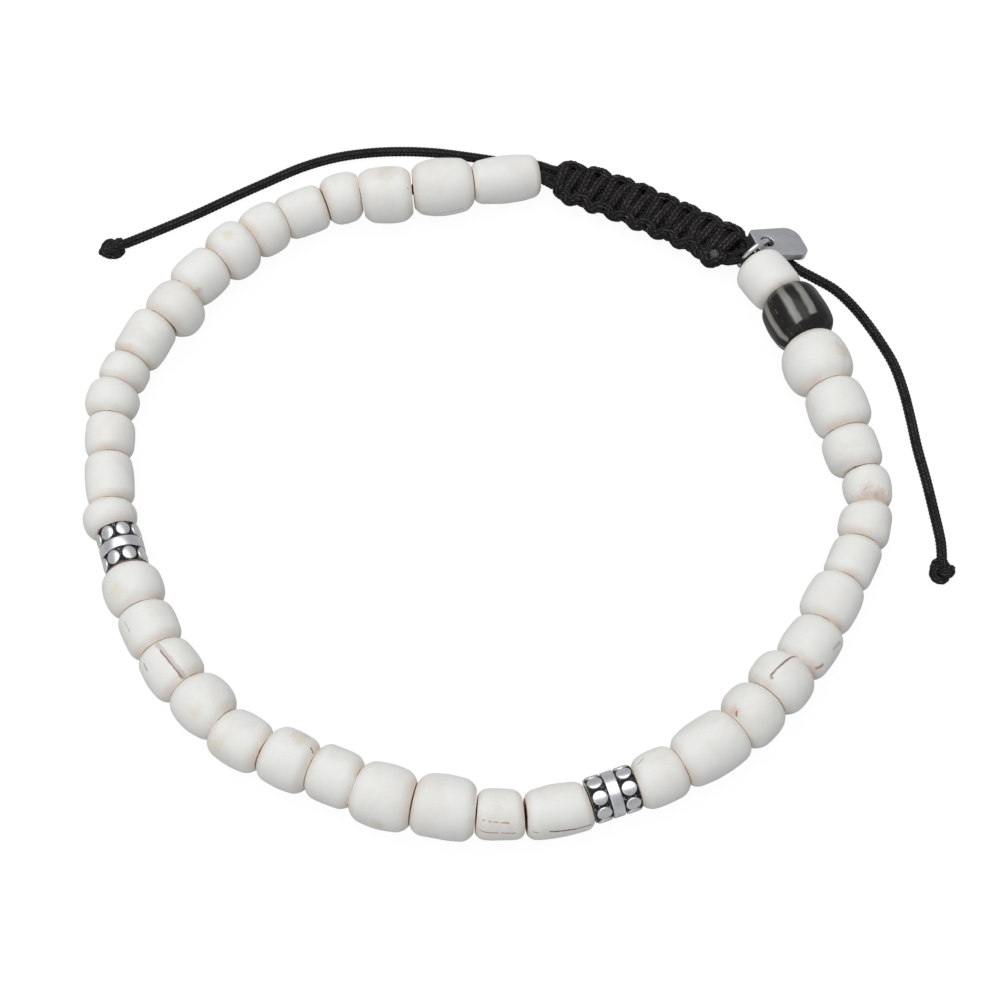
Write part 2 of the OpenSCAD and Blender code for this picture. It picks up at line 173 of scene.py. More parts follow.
def points_at(line, run, s):
    """Points of a line at the distances s, where run holds the distances of its own points."""
    return np.stack([np.interp(s, run, axis) for axis in line.T], axis=-1)


def closed_line(points, steps):
    """Smooth line through points and back to the first."""
    p = [np.array(q, float) for q in points]
    n = len(p)
    line = [smooth(p[i - 1], p[i], p[(i + 1) % n], p[(i + 2) % n], j / steps)
            for i in range(n) for j in range(steps)]
    return np.array(line + line[:1])


def open_line(points, step):
    """Smooth line through points, with steps of even length."""
    p = np.array(points, float)
    p = np.vstack([2 * p[0] - p[1], p, 2 * p[-1] - p[-2]])
    fine = np.array([smooth(p[i - 1], p[i], p[i + 1], p[i + 2], j / 24)
                     for i in range(1, len(p) - 2) for j in range(24)] + [p[-2]])
    run = run_along(fine)
    count = max(2, int(round(run[-1] / step)) + 1)
    return points_at(fine, run, np.linspace(0, run[-1], count))


def eased(a, b, t):
    return a + (b - a) * t * t * (3 - 2 * t)


def raised(p, z):
    return np.array([p[0], p[1], z])


def unit(v):
    return v / np.linalg.norm(v)


def between(start, end):
    """Matrix in metres that stands a shape made round Z on the line between two points."""
    d = Vector(end) - Vector(start)
    turn = (Matrix.Rotation(math.atan2(d.y, d.x), 4, "Z")
            @ Matrix.Rotation(math.acos(d.z / d.length), 4, "Y"))
    return Matrix.Translation((Vector(start) + Vector(end)) / 2 * MM) @ turn


# ---------------------------------------------------------------- layout of the loop


loop_line = closed_line(LOOP, LOOP_STEPS)
loop_run = run_along(loop_line)
loop_length = loop_run[-1]


def loop_at(s):
    """Plan point of the loop at a distance s from the first bead's start."""
    return points_at(loop_line, loop_run, s)


def heading(s):
    d = loop_at(min(s + 0.5, loop_length)) - loop_at(max(s - 0.5, 0))
    return math.degrees(math.atan2(d[1], d[0]))


def beside_loop(s, x, z):
    """Point x outwards from the loop at a distance s, and z above the floor."""
    a = math.radians(heading(s))
    return raised(loop_at(s) + x * np.array([-math.sin(a), math.cos(a)]), z)


def meet_z(k):
    """Height of the hole where bead k meets the one before it."""
    last = len(BEADS) - 1
    return max(BEADS[max(k - 1, 0)].width, BEADS[min(k, last)].width) / 2 + 0.02


def section_of(k, form=None):
    """Circles of a bead's side and rims: crown radius, rim radius and the rims' middles."""
    _, length, width, own_form, swell, _ = BEADS[k]
    form = form or own_form
    crown, rim = form[0] * width, form[1] * width
    places = []
    for side in (-1, 1):
        y = side * (length / 2 - rim)
        x = width / 2 - crown + math.sqrt((crown - rim) ** 2 - (y - swell) ** 2)
        places.append((x, y))
    return crown, rim, places


def worn_section(k):
    """Circles of a finished bead, whose sides are fuller."""
    return section_of(k, SQUARE if k + 1 in SQUARE_BEADS else WORN[BEADS[k].form])


def flat_r(k, side):
    """Radius of the flat end of a bead's solid."""
    if BEADS[k].form is SPACER:
        return GROUND_R
    return section_of(k)[2][0 if side < 0 else 1][0]


def bead_starts():
    """Distance along the loop at which each bead starts, so that bent joints stay clear."""
    starts = [0.0]
    for k, (bead, after) in enumerate(zip(BEADS, BEADS[1:])):
        s = starts[-1]
        tilt = [math.degrees(math.asin((meet_z(j + 1) - meet_z(j)) / BEADS[j].length))
                for j in (k, k + 1)]
        here, there = s + bead.length / 2, s + bead.length + after.length / 2
        bend = abs((heading(there) - heading(here) + 180) % 360 - 180)
        turn = math.radians(math.hypot(bend, tilt[1] - tilt[0]))
        reach = min(flat_r(k, 1) + abs(bead.offset), flat_r(k + 1, -1) + abs(after.offset))
        starts.append(s + bead.length + RIM_GAP + reach * turn + turn * turn)
    return starts


bead_start = bead_starts()
beads_end = bead_start[-1] + BEADS[-1].length
band_from = beads_end + LEFT_BARE
band_to = loop_length - RIGHT_BARE
knot_pitch = (band_to - band_from) / BAND_KNOTS


def band_z(t):
    """Height of the band's middle line, t from 0 to 1 along it."""
    return BAND_MID_Z + (BAND_END_Z - BAND_MID_Z) * (2 * t - 1) ** 2


def bare_z(way, run):
    """Height of the bare cord at a distance from the band's left (-1) or right (1) end."""
    if way < 0:
        bare, first, last = LEFT_BARE, band_z(0), meet_z(len(BEADS))
    else:
        bare, first, last = RIGHT_BARE, band_z(1), meet_z(0)
    return eased(first, last, min(max(run / bare, 0), 1))


def hole_ends(k):
    """The two ends of a bead's hole."""
    return (raised(loop_at(bead_start[k]), meet_z(k)),
            raised(loop_at(bead_start[k] + BEADS[k].length), meet_z(k + 1)))


# ---------------------------------------------------------------- modelling by hand tools


def clear_selection(active=None):
    bpy.ops.object.select_all(action="DESELECT")
    if active:
        active.select_set(True)
        bpy.context.view_layer.objects.active = active


@contextmanager
def editing(obj):
    """Edit mode with all of a shape selected; afterwards its faces look outwards."""
    clear_selection(obj)
    bpy.ops.object.mode_set(mode="EDIT")
    bpy.ops.mesh.select_all(action="SELECT")
    yield
    bpy.ops.mesh.select_all(action="SELECT")
    bpy.ops.mesh.normals_make_consistent(inside=False)
    bpy.ops.object.mode_set(mode="OBJECT")


def apply_modifier(obj, kind, **values):
    """Adds a modifier to the active shape, sets it and applies it."""
    bpy.ops.object.modifier_add(type=kind)
    change = obj.modifiers[-1]
    for key, value in values.items():
        setattr(change, key, value)
    bpy.ops.object.modifier_apply(modifier=change.name)


def join(parts):
    """Joins shapes into the first of them."""
    clear_selection(parts[0])
    for part in parts:
        part.select_set(True)
    bpy.ops.object.join()
    return parts[0]


def move_mesh(obj, matrix):
    """Moves a shape into place in its own mesh."""
    obj.data.transform(matrix)
    obj.data.update()


def add_attribute(obj, name, values):
    """Stores a number, or an arrow of three, for each point of a shape."""
    values = np.asarray(values, float)
    kind, field = ("FLOAT", "value") if values.ndim == 1 else ("FLOAT_VECTOR", "vector")
    obj.data.attributes.new(name, kind, "POINT").data.foreach_set(field, values.ravel())


def spin_section(name, section, steps):
    """Spins a closed section of (radius, height) points in millimetres round Z."""
    clear_selection()
    bpy.ops.mesh.primitive_circle_add(vertices=len(section), radius=0.002, fill_type="NOTHING")
    obj = bpy.context.active_object
    obj.name = name
    for vertex, (r, z) in zip(obj.data.vertices, section):
        vertex.co = (r * MM, 0, z * MM)
    with editing(obj):
        bpy.ops.mesh.spin(steps=steps, angle=math.tau, center=(0, 0, 0), axis=(0, 0, 1))
        bpy.ops.mesh.select_all(action="SELECT")
        bpy.ops.mesh.remove_doubles(threshold=2e-7)
        bpy.ops.mesh.delete_loose(use_verts=True, use_edges=True, use_faces=False)
    return obj


# ---------------------------------------------------------------- braided cord


def frames_along(line, up):
    """Side and up arrows along a line: one arrow carried on, or one given for each point."""
    forward = np.gradient(line, axis=0)
    forward /= np.linalg.norm(forward, axis=1)[:, None]
    given = np.array(up, float)
    ups = np.empty_like(line)
    u = given
    for i, f in enumerate(forward):
        u = given[i] if given.ndim == 2 else u
        u = unit(u - f * (u @ f))
        ups[i] = u
    return np.cross(forward, ups), ups


def braid_height(s, turn):
    """Height from 0 to 1 of a round braid's slanted stitches, s stitches along it.

    Each column of stitches is half a stitch on from the last.
    """
    column = np.floor(turn * BRAID_COLUMNS)
    a = turn * BRAID_COLUMNS - column
    way = np.where(column % 2 == 0, 1.0, -1.0)
    phase = s + way * (a - 0.5) * STITCH_SLANT + column % 2 / 2
    u = np.abs((phase - np.floor(phase)) - 0.5) * 2
    across = np.abs(a - 0.5) * 2
    return np.clip(1 - u**STITCH_SQUARE, 0, 1) ** 0.5 * (1 - STITCH_FALL * across**2)


def build_tube(name, line, cord, sides=24, up=(0, 0, 1), girth=1.0, coarse=1.0, flat=0.0):
    """Closed tube with the braid's relief along a line in millimetres.

    It is pressed flat by a share across its up arrow.
    """
    radius = cord.thickness / MM / 2 * girth
    depth = cord.stitch_depth / MM * coarse
    stitch = cord.stitch_length / MM * coarse
    run = run_along(line)
    side, ups = frames_along(line, up)
    side, ups = side * (1 + flat), ups * (1 - flat)
    turn = (np.arange(sides) + 0.5) / sides
    angle = turn * math.tau
    height = braid_height(run[:, None] / stitch, turn[None, :] + np.zeros((len(line), 1)))
    ends = np.clip(np.minimum(run, run[-1] - run) / (0.5 * radius), 0, 1)
    round_off = np.sqrt(np.clip(1 - (1 - ends) ** 2, 0, 1)) * 0.45 + 0.55
    r = (radius - depth * (1 - height)) * round_off[:, None]
    points = (line[:, None, :] + side[:, None, :] * (r * np.cos(angle))[:, :, None]
              + ups[:, None, :] * (r * np.sin(angle))[:, :, None])
    n, m = len(line), sides
    i, j = np.meshgrid(np.arange(n - 1), np.arange(m), indexing="ij")
    k = (j + 1) % m
    quads = np.stack([i * m + j, i * m + k, (i + 1) * m + k, (i + 1) * m + j], axis=-1)
    verts = np.vstack([points.reshape(-1, 3), line[:1], line[-1:]]) * MM
    caps = [[n * m, (q + 1) % m, q] for q in range(m)]
    caps += [[n * m + 1, (n - 1) * m + q, (n - 1) * m + (q + 1) % m] for q in range(m)]
    mesh = bpy.data.meshes.new(name)
    mesh.from_pydata(verts.tolist(), [], quads.reshape(-1, 4).tolist() + caps)
    obj = bpy.data.objects.new(name, mesh)
    bpy.context.collection.objects.link(obj)
    # Place on the cord: stitches from its start, then its place in the round
    lay = np.zeros((n * m + 2, 3))
    lay[:n * m] = np.column_stack([np.repeat(run / stitch, m), np.tile(np.cos(angle) * radius, n),
                                   np.tile(np.sin(angle) * radius, n)])
    add_attribute(obj, "lay", lay)
    with editing(obj):
        pass  # Only its faces are turned outwards
    bpy.ops.object.shade_smooth()
    return obj


# ---------------------------------------------------------------- beads


def bead_section(k):
    """Section of a bead: crowned side, rims with a crisp edge, flat ends and drilled hole."""
    _, length, width, _, swell, _ = BEADS[k]
    crown, rim, ((x0, y0), (x1, y1)) = worn_section(k)
    middle, half = width / 2 - crown, length / 2
    low, high = math.atan2(y0 - swell, x0 - middle), math.atan2(y1 - swell, x1 - middle)
    lift = (1 - 0.03 / rim) / math.sin(RIM_EDGE) - 1

    def rim_arc(x, y, join_at, side):
        shares = np.linspace(0, 1, 8)
        turns = np.linspace(side * join_at, RIM_EDGE, 8)
        return [(x + rim * math.cos(a), y + side * rim * math.sin(a) * (1 + lift * u * u))
                for a, u in zip(turns, shares)]

    side = rim_arc(x0, y0, low, -1)[::-1]
    side += [(middle + crown * math.cos(a), swell + crown * math.sin(a))
             for a in np.linspace(low, high, 14)[1:-1]]
    side += rim_arc(x1, y1, high, 1)
    top, foot = side[-1][0] - FACE_EDGE, side[0][0] - FACE_EDGE
    mouth = [(MOUTH_R, half), (BORE_R + 0.04, half - 0.04), (BORE_R, half - MOUTH_R + BORE_R)]
    return (side + [(top, half), ((top + BORE_R) / 2, half)] + mouth + [(BORE_R, 0)]
            + [(r, -z) for r, z in reversed(mouth)] + [((foot + BORE_R) / 2, -half), (foot, -half)])


def end_plane(k, side):
    """Plane that a bead's end is ground to, to meet its neighbour flat: point and arrow."""
    start, end = hole_ends(k)
    axis, point, other = unit(end - start) * side, end if side > 0 else start, k + side
    if not 0 <= other < len(BEADS):
        return point, axis
    gap = JOINT_GAPS.get(min(k, other) + 1, JOINT_GAP)
    near, far = hole_ends(other)[::side]
    toward = unit(far - near)
    if BEADS[other].form is SPACER:
        return near - toward * gap, toward
    arrow = unit(axis + toward)
    return (point + near) / 2 - arrow * gap / 2, arrow


def left_open(k, side, points):
    """True for each point of a bead's end, in millimetres, that its neighbour leaves bare."""
    other = k + side
    if not 0 <= other < len(BEADS):
        return np.ones(len(points), bool)
    cover = SPACER_R - 0.05
    if BEADS[other].form is not SPACER:
        _, rim, places = worn_section(other)
        cover = places[0 if side > 0 else 1][0] + rim * math.cos(RIM_EDGE)
    back = np.array(between(*hole_ends(other)).inverted())
    own = points @ back[:3, :3].T + back[:3, 3] / MM
    return np.hypot(own[:, 0], own[:, 1] - BEADS[other].offset) > cover


def build_bead(k, beads):
    """Drilled bead: spun from its section, offset, ground to its neighbours, made uneven."""
    obj = spin_section(BEADS[k].name + "_shape", bead_section(k), beads.spin_steps)
    mesh = obj.data
    half = BEADS[k].length / 2
    co = np.empty(len(mesh.vertices) * 3)
    mesh.vertices.foreach_get("co", co)
    co = co.reshape(-1, 3) / MM
    at_hole = np.hypot(co[:, 0], co[:, 1]) < MOUTH_R + 0.01
    co[~at_hole, 1] += BEADS[k].offset
    stand = between(*hole_ends(k))
    turn = np.array(stand.to_3x3())
    centre = np.array(stand.translation) / MM
    end_gap = np.full(len(co), np.inf)
    depth = co[:, 2].copy()
    for side in (-1, 1):
        point, arrow = end_plane(k, side)
        point, arrow = turn.T @ (point - centre), turn.T @ arrow
        reach = (point @ arrow - co[:, 0] * arrow[0] - co[:, 1] * arrow[1]) / arrow[2]
        here = depth * side >= 0
        co[here, 2] = (depth * reach * side / half)[here]
        # Painted shade: an end face is darkened only where its neighbour covers it and the joint's
        # shade falls
        clean = left_open(k, side, co @ turn.T + centre) * 0.06
        end_gap = np.minimum(end_gap, np.abs(reach - co[:, 2]) + clean)
    mesh.vertices.foreach_set("co", (co * MM).ravel())
    add_attribute(obj, "bead_place", co)
    add_attribute(obj, "end_gap", np.where(at_hole, 0.0, end_gap))
    group = obj.vertex_groups.new(name="side")
    for i, weight in enumerate(np.clip(end_gap, 0.08, 1) * ~at_hole):
        group.add([i], float(weight), "REPLACE")
    move_mesh(obj, stand)
    clear_selection(obj)
    worn = bpy.data.textures.get("uneven") or bpy.data.textures.new("uneven", "CLOUDS")
    worn.noise_scale = UNEVEN_SIZE
    worn.noise_depth = 1
    apply_modifier(obj, "DISPLACE", texture=worn, texture_coords="LOCAL", vertex_group="side",
                   mid_level=0.5, strength=beads.unevenness * UNEVEN_GAIN)
    for vertex in mesh.vertices:
        vertex.co.z = max(vertex.co.z, 0)
    bpy.ops.object.shade_smooth_by_angle(angle=math.radians(32))
    return obj


# ---------------------------------------------------------------- shader groups


class Wire:
    """A node's output. Arithmetic on a number's wire adds the nodes that work it out."""

    def __init__(self, graph, socket):
        self.graph = graph
        self.socket = socket

    def __add__(self, other):
        return self.graph.math("ADD", self, other)

    def __sub__(self, other):
        return self.graph.math("SUBTRACT", self, other)

    def __mul__(self, other):
        return self.graph.math("MULTIPLY", self, other)

    def __truediv__(self, other):
        return self.graph.math("DIVIDE", self, other)

    def __rtruediv__(self, other):
        return self.graph.math("DIVIDE", other, self)

    def __abs__(self):
        return self.graph.math("ABSOLUTE", self)


class Graph:
    """Short ways to add and link the nodes of one tree."""

    def __init__(self, tree):
        self.tree = tree
        self.nodes = tree.nodes

    def plug(self, socket, value):
        """Links a wire to an input or sets the input to a value."""
        if isinstance(value, Wire):
            self.tree.links.new(value.socket, socket)
        else:
            socket.default_value = value

    def add(self, kind, inputs, **values):
        """Adds a shader node and fills its inputs, given by name or number."""
        node = self.nodes.new("ShaderNode" + kind)
        for key, value in values.items():
            setattr(node, key, value)
        for key, value in inputs.items():
            if value is not None:
                self.plug(node.inputs[key], value)
        return node

    def wire(self, kind, inputs, output=0, **values):
        return Wire(self, self.add(kind, inputs, **values).outputs[output])

    def math(self, operation, *numbers, clamp=False):
        return self.wire("Math", dict(enumerate(numbers)), operation=operation, use_clamp=clamp)

    def vector(self, operation, a, b=None, scale=None):
        output = "Value" if operation in ("DOT_PRODUCT", "LENGTH") else "Vector"
        return self.wire("VectorMath", {0: a, 1: b, "Scale": scale}, output, operation=operation)

    def span(self, value, low, high, to_low=0.0, to_high=1.0, kind="SMOOTHSTEP"):
        """Maps low to high onto another range, with soft ends unless kind is LINEAR."""
        return self.wire("MapRange", dict(enumerate((value, low, high, to_low, to_high))),
                         interpolation_type=kind)

    def mix(self, factor, a, b, blend="MIX"):
        return self.wire("Mix", {"Factor": factor, 6: a, 7: b}, 2, data_type="RGBA",
                         blend_type=blend)

    def noise(self, vector, scale, detail=2.0, rough=0.5, distortion=0.0, output="Fac"):
        return self.wire("TexNoise", {"Vector": vector, "Scale": scale, "Detail": detail,
                                      "Roughness": rough, "Distortion": distortion}, output)

    def parts(self, vector):
        node = self.add("SeparateXYZ", {0: vector})
        return [Wire(self, socket) for socket in node.outputs]

    def attribute(self, name, output="Fac"):
        return self.wire("Attribute", {}, output, attribute_name=name)

    def millimetres(self):
        return self.vector("SCALE", self.wire("TexCoord", {}, "Object"), scale=1000.0)

    def group(self, name, **values):
        """Adds one of the shared groups; gives its outputs by name."""
        node = self.add("Group", {}, node_tree=bpy.data.node_groups[name])
        for key, value in values.items():
            self.plug(node.inputs[key.replace("_", " ")], value)
        return {socket.name: Wire(self, socket) for socket in node.outputs}

    def give(self, **values):
        """Ends a shared group: adds its named outputs and links them."""
        for label in values:
            kind = "NodeSocketColor" if label == "Colour" else "NodeSocketFloat"
            self.tree.interface.new_socket(name=label, in_out="OUTPUT", socket_type=kind)
        end = self.nodes.new("NodeGroupOutput")
        for label, value in values.items():
            self.plug(end.inputs[label], value)


def new_group(name, inputs):
    """Node group with named inputs: a number, a colour, or a vector where no default is given."""
    tree = bpy.data.node_groups.new(name, "ShaderNodeTree")
    for label, default in inputs.items():
        kind = "Vector" if default is None else "Color" if isinstance(default, tuple) else "Float"
        socket = tree.interface.new_socket(name=label, in_out="INPUT",
                                           socket_type="NodeSocket" + kind)
        if default is not None:
            socket.default_value = default
    g = Graph(tree)
    start = g.nodes.new("NodeGroupInput")
    return g, {label: Wire(g, start.outputs[label]) for label in inputs}


def rgba(colour):
    return tuple(colour) + (1.0,)


WHITE, GREY = (1, 1, 1, 1), (0.8, 0.8, 0.8, 1)


def group_cloudy():
    """Soft clouds of a second colour through stone or bone."""
    g, i = new_group("Cloudy Tint", {
        "Place": None, "Colour": GREY, "Cloud Colour": (0.8, 0.75, 0.7, 1), "Cloud Size": 4.0,
        "Cloud Amount": 0.5})
    cloud = g.span(g.noise(i["Place"], 1.0 / i["Cloud Size"], 3.0, 0.55, 0.6), 0.42, 0.68)
    g.give(Colour=g.mix(cloud * i["Cloud Amount"], i["Colour"], i["Cloud Colour"]))


def group_rim():
    """Painted highlight as a pale line on a bead's rim, a warm tint beside it that is partly a
    stain at the end and partly painted shade of the joint, and painted shade on the end face where
    its neighbour covers it.
    """
    g, i = new_group("Rim Highlight And Shade", {
        "Colour": GREY, "Line Colour": (1, 0.93, 0.85, 1), "Tint Colour": (0.8, 0.55, 0.4, 1),
        "Joint Shade Colour": (0.50, 0.33, 0.22, 1), "Line Width": 0.12, "Tint Width": 1.0,
        "Tint Amount": 0.55, "Place": None})
    gap = g.attribute("end_gap")
    wobble = (g.noise(i["Place"], 0.9) - 0.5) * 0.9
    patches = g.span(g.noise(i["Place"], 0.45), 0.35, 0.65) * 0.85 + 0.15
    # The warm tint is partly a stain at the bead's end and partly painted shade beside the joint
    tint = g.span(gap + wobble, i["Tint Width"], 0.05) * i["Tint Amount"] * patches
    # Painted highlight: the pale line along the rim's edge
    line = g.span(gap, i["Line Width"], i["Line Width"] * 0.35)
    edged = g.mix(line, g.mix(tint, i["Colour"], i["Tint Colour"]), i["Line Colour"])
    # Painted shade on the end face where the neighbouring bead covers it
    g.give(Colour=g.mix(g.span(gap, 0.028, 0.012), edged, i["Joint Shade Colour"]))


def on_surface(g, spot, origin, facing):
    """Arrow from a point to the shaded spot, without its part square to the surface."""
    rel = g.vector("SUBTRACT", spot, origin)
    square = g.vector("SCALE", facing, scale=g.vector("DOT_PRODUCT", rel, facing))
    return g.vector("SUBTRACT", rel, square)


def facing_side(g, spot, origin, facing):
    """1 on the side of the bead that the mark is on."""
    rel = g.vector("SUBTRACT", spot, origin)
    return g.span(g.vector("DOT_PRODUCT", rel, facing), -1.8, -1.4)


def group_vein():
    """Thin wandering vein between two points in millimetres, broken into dashes."""
    g, i = new_group("Vein", {
        "Place": None, "Colour": GREY, "Vein Colour": (0.2, 0.08, 0.04, 1), "Start": None,
        "End": None, "Facing": None, "Width": 0.2, "Wander": 0.22, "Breaks": 0.3, "Amount": 0.9})
    spot, start = i["Place"], i["Start"]
    facing = g.vector("NORMALIZE", i["Facing"])
    shift = g.vector("SUBTRACT", g.noise(spot, 1.1, output="Color"), (0.5, 0.5, 0.5))
    here = g.vector("ADD", spot, g.vector("SCALE", shift, scale=i["Wander"]))
    line = on_surface(g, i["End"], start, facing)
    rel = on_surface(g, here, start, facing)
    t = g.math("DIVIDE", g.vector("DOT_PRODUCT", rel, line), g.vector("DOT_PRODUCT", line, line),
               clamp=True)
    away = g.vector("LENGTH", g.vector("SUBTRACT", rel, g.vector("SCALE", line, scale=t)))
    width = i["Width"] * (g.noise(spot, 3.5, 3.0) * 1.3 + 0.35)
    breaks = g.span(g.noise(spot, 1.7, 1.0), i["Breaks"], i["Breaks"] + 0.12)
    mask = g.span(away, width, width * 0.25) * breaks * i["Amount"]
    mask = mask * facing_side(g, spot, start, facing)
    g.give(Colour=g.mix(mask, i["Colour"], i["Vein Colour"]))


def group_patch():
    """Soft-edged patch of another colour round a point in millimetres."""
    g, i = new_group("Patch", {
        "Place": None, "Colour": GREY, "Patch Colour": (0.7, 0.5, 0.4, 1), "Middle": None,
        "Facing": None, "Size": 1.5, "Raggedness": 0.8, "Amount": 0.5})
    spot, middle = i["Place"], i["Middle"]
    facing = g.vector("NORMALIZE", i["Facing"])
    away = g.vector("LENGTH", on_surface(g, spot, middle, facing))
    ragged = (g.noise(spot, 1.3, 3.0, 0.6) - 0.5) * i["Raggedness"] * 2.0
    mask = g.span(away / i["Size"] + ragged, 1.0, 0.2) * i["Amount"]
    mask = mask * facing_side(g, spot, middle, facing)
    g.give(Colour=g.mix(mask, i["Colour"], i["Patch Colour"]))


def group_wear():
    """Fine pits and scratches as a height, and the roughness that goes with them."""
    g, i = new_group("Fine Wear", {
        "Place": None, "Grain Size": 0.2, "Scratch Amount": 0.5, "Roughness": 0.2,
        "Roughness Change": 0.1})
    fine = g.noise(i["Place"], 1.0 / i["Grain Size"], 3.0, 0.6)
    long_place = g.vector("MULTIPLY", i["Place"], (9.0, 0.6, 9.0))
    scratch = g.span(g.noise(long_place, 0.8, 2.0, 0.7), 0.62, 0.7)
    spread = (g.noise(i["Place"], 0.8, 3.0) - 0.5) * 2.0 * i["Roughness Change"]
    g.give(Height=fine + scratch * (i["Scratch Amount"] * -0.6),
           Roughness=g.math("ADD", i["Roughness"], spread, clamp=True))


def group_fibre():
    """Braided stitches and fibres of a waxed cord: colour, height and roughness; the colour holds
    painted shade in the grooves, painted light on the stitch tops and painted glints.
    """
    g, i = new_group("Waxed Fibre", {
        "Deep Colour": (0.002, 0.002, 0.002, 1), "Top Colour": (0.02, 0.018, 0.018, 1),
        "Glint Colour": (0.1, 0.09, 0.09, 1), "Glint Amount": 0.5, "Columns": 8.0})
    lay = g.attribute("lay", "Vector")
    # The same slanted stitches as in the mesh's relief, finer than its faces
    run, x, y = g.parts(lay)
    turn = g.math("FRACT", g.math("ARCTAN2", y, x) / math.tau) * i["Columns"]
    column = g.math("FLOOR", turn)
    odd = g.math("FLOORED_MODULO", column, 2.0)
    a = g.math("FRACT", turn) - 0.5
    phase = run + ((odd * -2.0 + 1.0) * a * STITCH_SLANT + odd * 0.5)
    along = g.math("POWER", abs(g.math("FRACT", phase) - 0.5) * 2.0, STITCH_SQUARE)
    across = abs(a) * 2.0
    stitch = g.math("SQRT", g.math("SUBTRACT", 1.0, along, clamp=True))
    stitch = stitch * (across * across * -STITCH_FALL + 1.0)
    # The painted light on each stitch's top is a little stronger or weaker than on the next
    chance = g.wire("TexWhiteNoise", {
        "Vector": g.wire("CombineXYZ", {0: g.math("FLOOR", phase), 1: column})})
    lit = g.span(stitch, 0.3, 0.9) * (chance * 0.65 + 0.35)
    strands = g.noise(g.vector("MULTIPLY", lay, (1.0, 7.0, 7.0)), 1.6, 3.0, 0.65)
    # Painted shade: near black in the grooves between stitches, and painted light on the stitch
    # tops
    base = g.mix(lit, i["Deep Colour"], i["Top Colour"])
    base = g.mix(g.span(strands, 0.35, 0.7), g.mix(0.45, base, i["Deep Colour"]), base)
    # Painted glints of the wax on some of the stitch tops
    specks = g.noise(g.vector("MULTIPLY", lay, (0.5, 1.6, 1.6)), 3.1, 2.0, 0.7)
    glint = g.span(specks, 0.58, 0.70) * g.span(stitch, 0.5, 0.9) * i["Glint Amount"]
    g.give(Colour=g.mix(glint, base, i["Glint Colour"]), Height=strands * 0.35 + stitch * 0.65,
           Roughness=g.span(strands, 0.3, 0.75, 0.62, 0.42, "LINEAR"))


# ---------------------------------------------------------------- materials


def start_material(name):
    material = bpy.data.materials.new(name)
    material.use_nodes = True
    return material, Graph(material.node_tree)


def dress(g, height, strength, distance, **values):
    """Fills the inputs of a material's Principled shader and adds a bump of a height."""
    shader = g.nodes["Principled BSDF"]
    for key, value in values.items():
        g.plug(shader.inputs[key.replace("_", " ")], value)
    g.plug(shader.inputs["Normal"],
           g.wire("Bump", {"Height": height, "Strength": strength, "Distance": distance}, "Normal"))


RUST, UMBER, ROSE = (0.42, 0.17, 0.07, 1), (0.16, 0.09, 0.06, 1), (0.62, 0.42, 0.34, 1)
SLATE, SAND, OCHRE = (0.30, 0.28, 0.27, 1), (0.72, 0.60, 0.47, 1), (0.78, 0.68, 0.50, 1)
MAUVE = (0.50, 0.40, 0.37, 1)

# Patches by bead number, in millimetres: middle, arrow out of the surface, size, colour, amount
PATCH_COLUMNS = "Middle", "Facing", "Size", "Patch_Colour", "Amount"
PATCHES = [
    (1, (33.4, 22.1, 5.7), (0.4, -0.8, 0.4), 0.6, ROSE, 0.5),
    (3, (39.6, 12.9, 6.8), (0.6, 0.1, 0.8), 1.5, ROSE, 0.45),
    (6, (41.3, -3.7, 5.0), (0, -0.8, 0.6), 1.5, ROSE, 0.55),
    (6, (42.6, -3.7, 4.9), (0.4, -0.7, 0.6), 1.0, ROSE, 0.5),
    (12, (25.6, -29.0, 5.8), (-0.7, -0.4, 0.6), 0.9, ROSE, 0.5),
    (17, (1.3, -40.3, 5.2), (0, -0.5, 0.8), 2.6, SAND, 0.22),
    (19, (-10.6, -40.3, 4.1), (-0.2, -0.9, 0.3), 1.0, SAND, 0.5),
    (21, (-18.5, -31.6, 5.4), (0.4, 0.5, 0.8), 1.7, SAND, 0.55),
    (22, (-27.1, -32.2, 5.1), (-0.6, -0.4, 0.7), 1.4, OCHRE, 0.5),
    (23, (-29.5, -29.1, 5.8), (-0.2, -0.5, 0.8), 1.3, OCHRE, 0.45),
    (26, (-38.6, -15.8, 5.9), (-0.4, -0.4, 0.8), 1.4, OCHRE, 0.45),
    (35, (-32.5, 21.9, 5.0), (0, -0.8, 0.5), 0.6, ROSE, 0.5),
    (36, (-29.2, 28.2, 6.6), (-0.1, 0, 1), 1.2, OCHRE, 0.55),
    (40, (-11.6, 36.9, 6.4), (-0.1, 0.3, 0.9), 1.8, SAND, 0.45),
]
